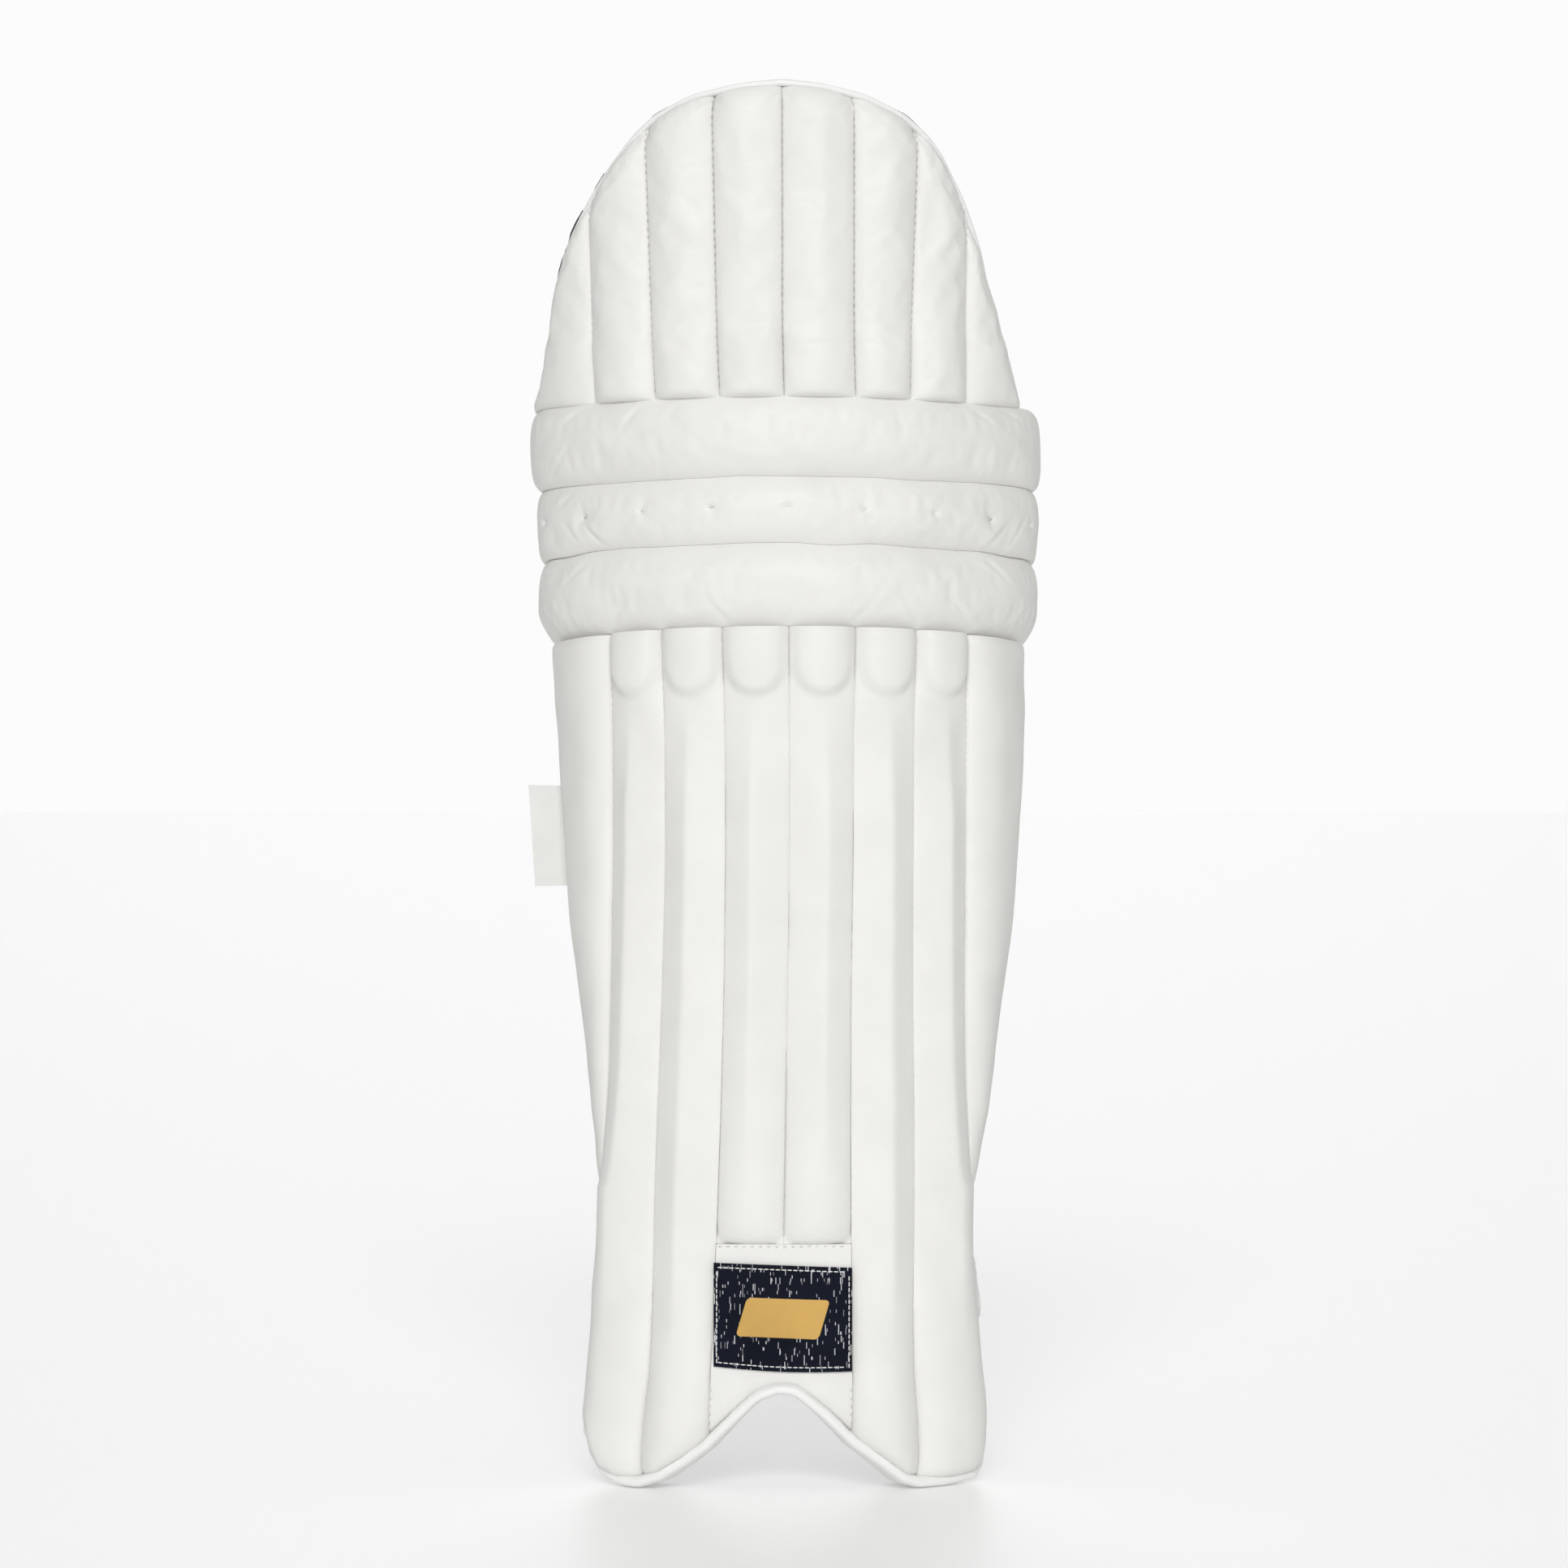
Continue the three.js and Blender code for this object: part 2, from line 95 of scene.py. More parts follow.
# heights, and depths below the shell's outer face
SHIN_FOOT, SHIN_TOP, INSTEP_TOP = 20.0, 446.0, 127.0
ROLL_SEAMS = {"lower": (SHIN_TOP, 488.5), "middle": (488.5, 523.0), "upper": (523.0, 564.8)}
SEAM_FALL = {SHIN_TOP: 6.5, 488.5: 4.5, 523.0: 1.5, 564.8: 1.0}
FALL_REACH = 150.0
COVER_BACK, SEAM_GAP, BINDING_INSET = 20.5, 0.04, 5.2
# the camera, in metres: its distance from the pad's axis and from the pad's front, and its height
CAMERA_DISTANCE, FRONT_DISTANCE, CAMERA_HEIGHT = 2.7, 2.57, 0.3645
# how much it sees at the pad's front, in metres, and the width of its sensor
VIEW_WIDTH, SENSOR_WIDTH = 0.8114, 36


# ---- small tools ----
def at(table, x):
    """A table read with soft corners."""
    pairs = np.array(table, float)
    x = np.asarray(x, float)
    steps = np.linspace(-9, 9, 7)
    return sum(np.interp(x + h, pairs[:, 0], pairs[:, 1]) for h in steps) / len(steps)


def smooth(edge0, edge1, x):
    t = np.clip((x - edge0) / (edge1 - edge0), 0, 1)
    return t * t * (3 - 2 * t)


def blunt(x, power):
    """The size of x raised to a power, its sign kept."""
    return np.sign(x) * np.abs(x) ** power


def bump_at(x, centre, width):
    return np.exp(-((x - centre) / width) ** 2)


def circle(count):
    return np.linspace(0, 2 * math.pi, count + 1)[:-1]


def unit_grid(cols, rows, start=0):
    """Shares across, from start to 1, and shares up, from 0 to 1."""
    return np.meshgrid(np.linspace(start, 1, cols + 1), np.linspace(0, 1, rows + 1))


def value_noise(x, y, size, seed):
    """Smooth noise between -1 and 1 over a plane, the same on every run."""
    count = 64
    table = np.random.default_rng(seed).uniform(-1, 1, (count, count))
    fx, fy = np.asarray(x) / size + 500, np.asarray(y) / size + 500
    ix, iy = np.floor(fx).astype(int), np.floor(fy).astype(int)
    tx, ty = fx - ix, fy - iy
    tx, ty = tx * tx * (3 - 2 * tx), ty * ty * (3 - 2 * ty)
    a, b = table[ix % count, iy % count], table[(ix + 1) % count, iy % count]
    c, d = table[ix % count, (iy + 1) % count], table[(ix + 1) % count, (iy + 1) % count]
    return (a * (1 - tx) + b * tx) * (1 - ty) + (c * (1 - tx) + d * tx) * ty


def arc_of(x, radius=SHELL_R):
    """Distance around the shell for a distance from the centre line."""
    return SHELL_R * np.arcsin(np.clip(np.asarray(x, float) / radius, -0.999, 0.999))


def surf(s, z, depth, kind="shin"):
    """Points, in metres, at a distance around the shell, a height, and a depth below its outer face."""
    s, z, depth = np.broadcast_arrays(np.asarray(s, float), np.asarray(z, float), np.asarray(depth, float))
    if kind == "flap":
        turn, radius = FLAP_TURN, np.full(s.shape, FLAP_SIDE_R)
    elif kind == "roll":
        turn, radius = ROLL_TURN, np.full(s.shape, ROLL_SIDE_R)
    else:
        turn, radius = SHIN_TURN, at(WING_RADIUS, z)
    side, reach = np.where(s < 0, -1.0, 1.0), np.abs(s)
    turn_at = SHELL_R * turn
    bent = reach > turn_at
    angle = np.where(bent, np.minimum(turn + (reach - turn_at) / radius, LAST_TURN), reach / SHELL_R)
    back = np.maximum(0, reach - turn_at - radius * (LAST_TURN - turn))
    r = np.where(bent, radius, SHELL_R) - depth
    cx = np.where(bent, (SHELL_R - radius) * math.sin(turn), 0)
    cy = np.where(bent, -(SHELL_R - radius) * math.cos(turn), 0)
    x = side * (cx + r * np.sin(angle) + back * math.cos(LAST_TURN)) + at(LEAN, z)
    y = cy - r * np.cos(angle) + back * math.sin(LAST_TURN)
    if kind == "shin":
        x = x + smooth(98, 125, reach) * side * np.where(s < 0, at(LEFT_OUT, z), at(RIGHT_OUT, z))
    return np.stack([x, y, z], -1) / 1000


def reach_of(y, z):
    """Distance around the shell at which a wing's outer face is at a given Y."""
    z = np.asarray(z, float)
    near, far = np.full(z.shape, WING_SEAM), np.full(z.shape, WING_SEAM + 200)
    for _ in range(40):
        middle = (near + far) / 2
        low = surf(middle, z, 0)[..., 1] * 1000 < y
        near, far = np.where(low, middle, near), np.where(low, far, middle)
    return (near + far) / 2


def nearest(s, z, line):
    """How far each point of a grid is from a line of [s, z] points."""
    best = np.full(np.shape(s), 1e9)
    for (s0, z0), (s1, z1) in zip(line[:-1], line[1:]):
        ds, dz = s1 - s0, z1 - z0
        t = np.clip(((s - s0) * ds + (z - z0) * dz) / (ds * ds + dz * dz + 1e-9), 0, 1)
        best = np.minimum(best, np.hypot(s - s0 - t * ds, z - z0 - t * dz))
    return best


def new_object(name, data):
    obj = bpy.data.objects.new(name, data)
    bpy.context.scene.collection.objects.link(obj)
    return obj


def build(name, verts, faces, material, sharp=50):
    mesh = bpy.data.meshes.new(name)
    mesh.from_pydata(np.asarray(verts).reshape(-1, 3).tolist(), [], [list(map(int, f)) for f in faces])
    mesh.validate()
    mesh.shade_smooth()
    mesh.set_sharp_from_angle(angle=math.radians(sharp))
    mesh.materials.append(material)
    return new_object(name, mesh)


def slab(name, outer, inner, material):
    """A closed piece between two grids of points, facing out."""
    rows, cols = outer.shape[:2]
    index = np.arange(rows * cols).reshape(rows, cols)
    a, b, c, d = index[:-1, :-1], index[:-1, 1:], index[1:, 1:], index[1:, :-1]
    front = np.stack([a, b, c, d], -1).reshape(-1, 4)
    back = front[:, ::-1] + rows * cols
    ring = np.concatenate([index[0, :-1], index[:-1, -1], index[-1, :0:-1], index[:0:-1, 0]])
    after = np.roll(ring, -1)
    rim = np.stack([after, ring, ring + rows * cols, after + rows * cols], -1)
    faces = np.concatenate([front, back, rim])
    i, j = rows // 2, cols // 2
    normal = np.cross(outer[i, j + 1] - outer[i, j], outer[i + 1, j] - outer[i, j])
    if np.dot(normal, outer[i, j] - inner[i, j]) < 0:
        faces = faces[:, ::-1]
    return build(name, np.concatenate([outer.reshape(-1, 3), inner.reshape(-1, 3)]), faces, material)


def tube_faces(rings, around):
    index = np.arange(rings * around).reshape(rings, around)
    after = np.roll(index, -1, axis=1)
    faces = np.stack([index[:-1], after[:-1], after[1:], index[1:]], -1).reshape(-1, 4).tolist()
    return faces + [index[0][::-1].tolist(), index[-1].tolist()]


def tube(name, rings, material, sharp=50):
    """A closed piece from rings of points, one ring after another."""
    faces = tube_faces(*rings.shape[:2])
    i = len(rings) // 2
    normal = np.cross(rings[i, 1] - rings[i, 0], rings[i + 1, 0] - rings[i, 0])
    if np.dot(normal, rings[i, 0] - rings[i].mean(0)) < 0:
        faces = [f[::-1] for f in faces]
    return build(name, rings.reshape(-1, 3), faces, material, sharp)


# ---- materials ----
def plug(tree, shader, inputs):
    """Set a node's inputs, each to a value or to another node's output."""
    for key, value in inputs.items():
        if isinstance(value, bpy.types.NodeSocket):
            tree.links.new(value, shader.inputs[key])
        else:
            shader.inputs[key].default_value = value


def node(tree, kind, inputs=(), **settings):
    made = tree.nodes.new("ShaderNode" + kind)
    for key, value in settings.items():
        setattr(made, key, value)
    plug(tree, made, dict(inputs))
    return made


def new_material(name):
    mat = bpy.data.materials.new(name)
    mat.use_nodes = True
    return mat, mat.node_tree, mat.node_tree.nodes["Principled BSDF"]


def calculate(tree, kind, a, b):
    return node(tree, "Math", {0: a, 1: b}, operation=kind).outputs["Value"]


def material(name, base, rough, tint, grain, weave=None, sheen=0.0, coat=0.0, bump=0.25, soil=0.0):
    """Colour variation, roughness variation and bump from noise, grain and an optional weave."""
    mat, tree, shader = new_material(name)
    place = node(tree, "TexCoord").outputs["Object"]

    def noise(scale, detail):
        return node(tree, "TexNoise", {"Scale": scale, "Detail": detail, "Vector": place}).outputs["Fac"]

    def ramp(source, low, high, at_low=0.3, at_high=0.7):
        made = node(tree, "ValToRGB", {"Fac": source})
        for stop, position, colour in zip(made.color_ramp.elements, (at_low, at_high), (low, high)):
            stop.position, stop.color = position, (*colour, 1)
        return made.outputs["Color"]

    def multiply(share, one, other):
        mix = node(tree, "MixRGB", {"Fac": share, "Color1": one, "Color2": other}, blend_type="MULTIPLY")
        return mix.outputs["Color"]

    low = tuple(c * (1 - tint) for c in base)
    high = tuple(min(1, c * (1 + tint * 0.6)) for c in base)
    colour = ramp(noise(35, 5), low, high)
    if soil:
        colour = multiply(soil, colour, ramp(noise(11, 6), (0.9, 0.885, 0.86), (1, 1, 1), 0.28, 0.42))
    fine = noise(grain, 2)
    cells = node(tree, "TexVoronoi", {"Scale": grain * 0.7, "Vector": place}).outputs["Distance"]
    fine, cells = (calculate(tree, "MULTIPLY", part, 0.5) for part in (fine, cells))
    height = calculate(tree, "ADD", fine, cells)
    if weave:
        threads = {"Scale": weave, "Distortion": 0.6, "Detail": 1, "Vector": place}
        waves = [node(tree, "TexWave", threads, bands_direction=way).outputs["Fac"] for way in ("X", "Z")]
        woven = calculate(tree, "MULTIPLY", *waves)
        height = calculate(tree, "ADD", calculate(tree, "MULTIPLY", height, 0.4), woven)
        colour = multiply(0.35, colour, ramp(woven, (0.72, 0.72, 0.72), (1, 1, 1), 0.0, 0.6))
    smoothest, roughest = rough
    value = calculate(tree, "MULTIPLY", noise(60, 4), roughest - smoothest)
    relief = node(tree, "Bump", {"Strength": bump, "Distance": 0.0004, "Height": height})
    plug(tree, shader, {
        "Base Color": colour, "Roughness": calculate(tree, "ADD", value, smoothest),
        "Normal": relief.outputs["Normal"], "Sheen Weight": sheen, "Coat Weight": coat,
        "Coat Roughness": 0.35, "Specular IOR Level": 0.4})
    return mat


hide = material("coated_hide", (0.845, 0.84, 0.812), (0.42, 0.6), 0.025, 900, soil=0.25, bump=0.22)
piping = material("binding_tape", (0.9, 0.9, 0.885), (0.4, 0.55), 0.02, 1100, bump=0.2, soil=0.3)
dark_cloth = material("dark_lining", (0.035, 0.04, 0.052), (0.8, 0.95), 0.3, 1500, weave=420, sheen=0.3,
                      bump=0.5)
pale_cloth = material("inner_fabric", (0.74, 0.75, 0.73), (0.75, 0.9), 0.06, 1300, weave=330, sheen=0.25,
                      bump=0.5, soil=0.6)
cane_wood = material("split_cane", (0.6, 0.42, 0.2), (0.45, 0.65), 0.25, 400, bump=0.4)
web_cloth = material("strap_webbing", (0.8, 0.8, 0.785), (0.7, 0.85), 0.05, 1200, weave=260, sheen=0.2,
                     bump=0.6, soil=0.4)
hook_cloth = material("hook_tape", (0.07, 0.073, 0.08), (0.5, 0.7), 0.25, 2600, weave=500, bump=0.9)
loop_cloth = material("loop_tape", (0.62, 0.63, 0.62), (0.85, 0.98), 0.1, 3000, sheen=0.6, bump=0.9)
label_cloth = material("woven_label", (0.86, 0.86, 0.84), (0.6, 0.75), 0.03, 1500, weave=520, bump=0.35)
# grey thread: the stitches are real, but their grey colour is painted shade of the needle holes between them;
# the thread itself is white
thread_with_painted_shade = material("thread_with_painted_shade", (0.66, 0.66, 0.645), (0.55, 0.7), 0.2, 3000, bump=0.3)
pale_thread = material("pale_thread", (0.85, 0.85, 0.83), (0.5, 0.7), 0.06, 3000, bump=0.3)
gold_thread = material("gold_thread", (0.72, 0.43, 0.1), (0.3, 0.45), 0.12, 2500, weave=700, coat=0.2, bump=0.4)
# cells per metre across and up, the value above which a cell is a fleck, and an offset
FLECKS = [(2400, 300, 0.972, 0.0), (2600, 620, 0.968, 3.1), (2200, 190, 0.984, 7.7)]


def badge_material():
    """Dark navy cloth with short upright white flecks of several lengths."""
    mat = material("badge_cloth", (0.004, 0.006, 0.016), (0.55, 0.75), 0.4, 1500, weave=520, bump=0.35)
    tree = mat.node_tree
    shader = tree.nodes["Principled BSDF"]
    cloth = shader.inputs["Base Color"].links[0].from_socket
    place = node(tree, "TexCoord").outputs["Object"]
    flecks = 0.0
    for columns, rows, keep, shift in FLECKS:
        scale = node(tree, "Mapping", {"Vector": place, "Scale": (columns, 1, rows), "Location": (shift,) * 3})
        flat = node(tree, "VectorMath", {0: scale.outputs["Vector"], 1: (1, 0, 1)}, operation="MULTIPLY")
        cell = node(tree, "VectorMath", {0: flat.outputs["Vector"]}, operation="FLOOR")
        chance = node(tree, "TexWhiteNoise", {"Vector": cell.outputs["Vector"]}, noise_dimensions="3D")
        pick = calculate(tree, "GREATER_THAN", chance.outputs["Value"], keep)
        fleck = calculate(tree, "MULTIPLY", pick, chance.outputs["Color"])
        flecks = calculate(tree, "MAXIMUM", flecks, fleck)
    mix = node(tree, "MixRGB", {"Fac": flecks, "Color1": cloth, "Color2": (0.75, 0.77, 0.8, 1)})
    plug(tree, shader, {"Base Color": mix.outputs["Color"], "Specular IOR Level": 0.12})
    return mat


badge_cloth = badge_material()


# ---- shapes shared by the pieces ----
def unproject(points, radius):
    """Seen positions turned into true ones on a round shell, then into [distance around it, height]."""
    seen = np.array(points, float)
    true = seen.copy()
    for _ in range(4):
        y = -np.sqrt(np.maximum(0, radius ** 2 - true[:, 0] ** 2)) / 1000
        near = (CAMERA_DISTANCE + y) / FRONT_DISTANCE
        true[:, 0] = seen[:, 0] * near
        true[:, 1] = (seen[:, 1] - CAMERA_HEIGHT * 1000) * near + CAMERA_HEIGHT * 1000
    true[:, 0] = arc_of(true[:, 0], radius)
    return true


def edge_line(points, radius, count=161):
    """An edge with soft corners through the given points."""
    whole = unproject(points, radius)
    run = np.concatenate([[0], np.cumsum(np.hypot(*np.diff(whole, axis=0).T))])
    spots = np.linspace(0, run[-1], count * 3)
    fine = np.stack([np.interp(spots, run, whole[:, k]) for k in range(2)], -1)
    kernel = np.hanning(11) / np.hanning(11).sum()
    padded = np.concatenate([np.repeat(fine[:1], 5, 0), fine, np.repeat(fine[-1:], 5, 0)])
    soft = np.stack([np.convolve(padded[:, k], kernel, "valid") for k in range(2)], -1)
    return soft[::3]


def inward(line, up):
    """The direction across an edge at each of its points. In its middle it points up (1) or down (-1)."""
    t = np.gradient(line, axis=0)
    t /= np.linalg.norm(t, axis=1)[:, None]
    normal = np.stack([t[:, 1], -t[:, 0]], -1)
    return normal * np.sign(normal[len(line) // 2, 1]) * up


FLAP_EDGE_R = 137.0
flap_line = edge_line(FLAP_EDGE, FLAP_EDGE_R)
foot_line = edge_line([[x - float(at(LEAN, z)), z] for x, z in FOOT_EDGE], SHELL_R)


def seam(k, z):
    """Distance around the shell of shin seam k, from -3 to 3."""
    table = (None, SEAM_THIRD, SEAM_SECOND, SEAM_OUTER)[abs(k)]
    if table is None:
        return np.zeros(np.shape(z))
    # seams were read from the front, where the outer ones look nearer the centre line than they are
    x = at(table, z) * (1.026 if abs(k) == 3 else 1.015)
    radius = at(WING_RADIUS, z)
    sine = np.clip((x - (SHELL_R - radius) * math.sin(SHIN_TURN)) / radius, -1, 1)
    far = WING_SEAM + radius * (np.arcsin(sine) - SHIN_TURN)
    return math.copysign(1, k) * np.where(x > SHELL_R * math.sin(SHIN_TURN), far, arc_of(x))


def top_of_shin(s):
    return SHIN_TOP - SEAM_FALL[SHIN_TOP] * np.minimum(1, np.abs(s) / FALL_REACH) ** 2


def foot_height(s, gap):
    """Height of the line that runs a gap above the foot's edge."""
    line = foot_line + inward(foot_line, 1) * gap
    order = np.argsort(line[:, 0])
    return np.interp(s, line[order, 0], line[order, 1])


def pillow(t, power=2.6, root=0.5):
    return np.maximum(0, 1 - np.abs(2 * t - 1) ** power) ** root


def cushion(t, power=2.3):
    """A crown with sloped sides, from 0 at the seams to 1 in the middle."""
    return 0.78 * (1 - np.abs(2 * t - 1) ** power) + 0.22 * pillow(t, 6)


def near_seam(t, width, run=5):
    """1 at a channel's seams, 0 at a run from them."""
    return 1 - smooth(0, run, np.minimum(t, 1 - t) * width)


def within(gap, run):
    """1 at an edge, 0 at a run from it."""
    return np.clip(1 - gap / run, 0, 1)


def bevel(gap, run, amount):
    """How far a surface falls as it comes within a run of an edge."""
    return amount * (1 - np.sqrt(1 - within(gap, run) ** 2))


def add(obj, body, slot, *nodes, padded=None, blend=None):
    """Hide the CAD nodes a piece stands for, then parent it to its body's empty, or, for a blended piece, bake
    its transform and leave it unparented. Its material slot is not used.
    """
    if nodes:
        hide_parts(*nodes)
    if blend:
        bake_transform(obj)
    else:
        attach(obj, body)
    return obj


def add_slab(name, outer, inner, material, body, slot, padded=None, blend=None):
    """A slab that stands for the CAD node of the same name."""
    return add(slab(name, outer, inner, material), body, slot, name, padded=padded, blend=blend)


def sew(name, line, deeper, cotton, body="shin", slot="hide", blend=None, pitch=4.2, length=1.9, width=0.27):
    """Thread: a row of short stitches along a line of points, facing away from a deeper copy of it."""
    gaps = np.linalg.norm(np.diff(line, axis=0), axis=1) * 1000
    run = np.concatenate([[0], np.cumsum(gaps)])
    spots = np.arange(pitch / 2, run[-1] - pitch / 3, pitch)

    def read(values, where):
        return np.stack([np.interp(where, run, values[:, k]) for k in range(3)], -1)

    centre, out = read(line, spots), read(line - deeper, spots)
    t = read(line, spots + 1) - read(line, spots - 1)
    t /= np.linalg.norm(t, axis=1)[:, None]
    side = np.cross(t, out)
    side /= np.linalg.norm(side, axis=1)[:, None]
    out = np.cross(side, t)
    # one stitch: [share of its length, share of its thickness] at each ring
    profile = [(-0.5, 0.15), (-0.38, 0.8), (0, 1), (0.38, 0.8), (0.5, 0.15)]
    sides = 6
    rings = np.array([(along * length, r * width * math.cos(a), r * width * math.sin(a))
                      for along, r in profile for a in circle(sides)]) / 1000
    faces = tube_faces(len(profile), sides)
    verts, all_faces = [], []
    for i in range(len(spots)):
        verts.append(rings[:, :1] * t[i] + rings[:, 1:2] * side[i] + rings[:, 2:] * out[i] + centre[i])
        all_faces += [[v + len(rings) * i for v in face] for face in faces]
    return add(build(name, np.concatenate(verts), all_faces, cotton, 80), body, slot, blend=blend)


FLAP_BLEND = ("knee_upper", "top_flap", (0, -0.06, 0.561), (0, -0.06, 0.610))
ROLL_BLEND = {
    "lower": ("shin", "knee_lower", (0, -0.06, 0.440), (0, -0.06, 0.486)),
    "middle": ("knee_lower", "knee_middle", (0, -0.06, 0.486), (0, -0.06, 0.522)),
    "upper": ("knee_middle", "knee_upper", (0, -0.06, 0.522), (0, -0.06, 0.560)),
}


# ---- cloth simulation of the padded covers ----
def soften(field, passes):
    """A grid of vectors averaged with its neighbours, its edges kept."""
    for _ in range(passes):
        inner = field[1:-1, 1:-1]
        around = field[:-2, 1:-1] + field[2:, 1:-1] + field[1:-1, :-2] + field[1:-1, 2:]
        field[1:-1, 1:-1] = 0.5 * inner + 0.125 * around
    return field


CLOTH = {"quality": 4, "mass": 0.15, "tension_stiffness": 25, "compression_stiffness": 25, "shear_stiffness": 8,
         "bending_stiffness": 1.2, "vertex_group_mass": "seams", "use_pressure": True,
         "uniform_pressure_force": 3.0}
LAST_STEP, MOST_MOVED = 9, 1.2


def stuff(obj, held, grid, extra=0.005):
    """Fill a sewn cover: cloth under pressure, a little larger than the shape, held at its seams.

    held is the share of each vertex that stays put, grid the shape of the front's part of the mesh."""
    count = len(obj.data.vertices)
    start, end = np.empty(count * 3), np.empty(count * 3)
    obj.data.vertices.foreach_get("co", start)
    group = obj.vertex_groups.new(name="seams")
    levels = np.round(np.clip(held, 0, 1), 1)
    for level in np.unique(levels[levels > 0]):
        group.add(np.flatnonzero(levels == level).tolist(), float(level), "REPLACE")
    cloth = obj.modifiers.new("cloth", "CLOTH")
    for key, value in {**CLOTH, "shrink_min": -extra}.items():
        setattr(cloth.settings, key, value)
    cloth.settings.effector_weights.gravity = 0
    cloth.point_cache.frame_start, cloth.point_cache.frame_end = 1, LAST_STEP
    for step in range(1, LAST_STEP + 1):
        bpy.context.scene.frame_set(step)
    settled = obj.evaluated_get(bpy.context.evaluated_depsgraph_get())
    settled.data.vertices.foreach_get("co", end)
    obj.modifiers.remove(cloth)
    obj.vertex_groups.remove(group)
    bpy.context.scene.frame_set(1)
    move = (end - start).reshape(-1, 3) * (1 - np.clip(held, 0, 1))[:, None]
    length = np.linalg.norm(move, axis=1)[:, None] * 1000
    move = move * np.minimum(1, MOST_MOVED / np.maximum(length, 1e-6))
    front = grid[0] * grid[1]
    move[:front] = soften(move[:front].reshape(*grid, 3), 3).reshape(-1, 3)
    obj.data.vertices.foreach_set("co", start + move.ravel())
    obj.data.update()


# ---- shin channels ----
RIDGE_AT = 0.57
ROOF_END, ROOF_GONE = 386, 405
DOME_FROM, DOME_MIDDLE, DOME_TO = 340, 426.5, 440


def shin_channel(i):
    k0, k1 = i - 3, i - 2
    centre = i in (2, 3)
    t, v = unit_grid(30, 190)
    guess = SHIN_FOOT + (SHIN_TOP - SHIN_FOOT) * v
    s = seam(k0, guess) * (1 - t) + seam(k1, guess) * t
    low = np.full(s.shape, INSTEP_TOP) if centre else foot_height(s, BINDING_INSET)
    z = low + (top_of_shin(s) - low) * v
    s = seam(k0, z) * (1 - t) + seam(k1, z) * t + np.where(t < 0.5, 1, -1) * SEAM_GAP
    width = np.abs(seam(k1, z) - seam(k0, z))
    # a roof with its ridge nearer the outer seam, and a soft pillow at the dome and the lobes
    outer_t = t if k0 >= 0 else 1 - t
    rise = np.where(outer_t < RIDGE_AT, outer_t / RIDGE_AT, (1 - outer_t) / (1 - RIDGE_AT))
    rise = 1 - np.sqrt((1 - rise) ** 2 + 0.006) + 0.045
    roof = pillow(t, 30) * 0.3 + 7.6 * rise
    soft = 6.4 * cushion(t, 2.4)
    if centre:
        roofed = smooth(INSTEP_TOP + 24, INSTEP_TOP + 110, z) * (1 - smooth(ROOF_END, ROOF_GONE, z)) * 0.9
    else:
        roofed = smooth(66, 128, z) * (1 - smooth(ROOF_END, ROOF_GONE, z))
    body = roof * roofed + (soft * 0.85 + 0.15 * roof) * (1 - roofed)
    # a full dome under the knee roll, standing out from the flatter channel below it
    body = body * (1 - 0.48 * smooth(DOME_TO, 404, z) * smooth(DOME_FROM, 396, z))
    dome_r = np.hypot((t - 0.5) * width, np.maximum(0, DOME_MIDDLE - z))
    dome = 1 - smooth(0.7, 1.05, dome_r / (0.5 * width - 0.4))
    body = np.maximum(body, (7.4 * cushion(t, 2.6) + 0.9) * dome + body * (1 - dome))
    if not centre:
        body = body + 2.4 * cushion(t, 2.4) * smooth(78, 40, z)
    drop = bevel(top_of_shin(s) - z, 5, 1.3) + bevel(z - low, 15.0 if centre else 13.0, 5.6)
    bumps = 0.35 * value_noise(s, z, 17, 11 + i) + 0.5 * value_noise(s, z, 48, 31 + i)
    pucker = 0.2 * value_noise(z, s * 0.2, 2.6, 51 + i) * near_seam(t, width)
    depth = 2.2 - body + drop - bumps * cushion(t, 5) - pucker
    if centre:
        # level with the instep panel where they meet
        near_end = smooth(INSTEP_TOP + 9, INSTEP_TOP + 1, z)
        depth = depth * (1 - near_end) + np.minimum(depth, 3.0) * near_end
    outer, inner = surf(s, z, depth), surf(s, z, COVER_BACK)
    add_slab(f"shin_channel_{i + 1}", outer, inner, hide, "shin", "hide", 0.85)


for index in range(6):
    shin_channel(index)

for k in range(-3, 4):
    low = 130 if abs(k) < 2 else 40
    heights = np.linspace(442, low if k else INSTEP_TOP + 2, 120)
    side = seam(k, heights)
    sew(f"shin_stitches_{k + 4}", surf(side, heights, 1.65), surf(side, heights, 5), pale_thread, width=0.22)

for side, label in ((-1, "left"), (1, "right")):
    heights = np.linspace(70, 31, 40)
    s = seam(side, heights) - side * 0.9
    line = surf(s, heights, 1.6 + 0.5 * smooth(50, 36, heights))
    sew(f"notch_stitches_{label}", line, surf(s, heights, 5), thread_with_painted_shade)

# ---- instep panel, flattened behind the badge ----
FLAT_Y = -(SHELL_R - 2.9) / 1000
t, v = unit_grid(60, 60)
level = 90 + 0 * v
low = foot_height((seam(-1, level) + 0.2) * (1 - t) + (seam(1, level) - 0.2) * t, BINDING_INSET)
z = low + (INSTEP_TOP - 0.1 - low) * v
s = (seam(-1, z) + 0.2) * (1 - t) + (seam(1, z) - 0.2) * t
fullness = 2.0 * pillow(t, 3, 0.6) * smooth(62, 46, z)
outer = surf(s, z, 2.2 + bevel(z - low, 17, 5.2) - fullness - 0.4 * value_noise(s, z, 21, 5))
flatness = smooth(50, 64, z) * 0.8
outer[..., 1] = outer[..., 1] * (1 - flatness) + FLAT_Y * flatness
add_slab("instep_panel", outer, surf(s, z, COVER_BACK), hide, "shin", "hide", 0.4)
across = np.linspace(-35.5, 35.5, 40)
line = surf(arc_of(across), INSTEP_TOP - 1.2 + 0 * across, 1.9)
line[:, 1] = np.minimum(line[:, 1], FLAT_Y + 0.0002)
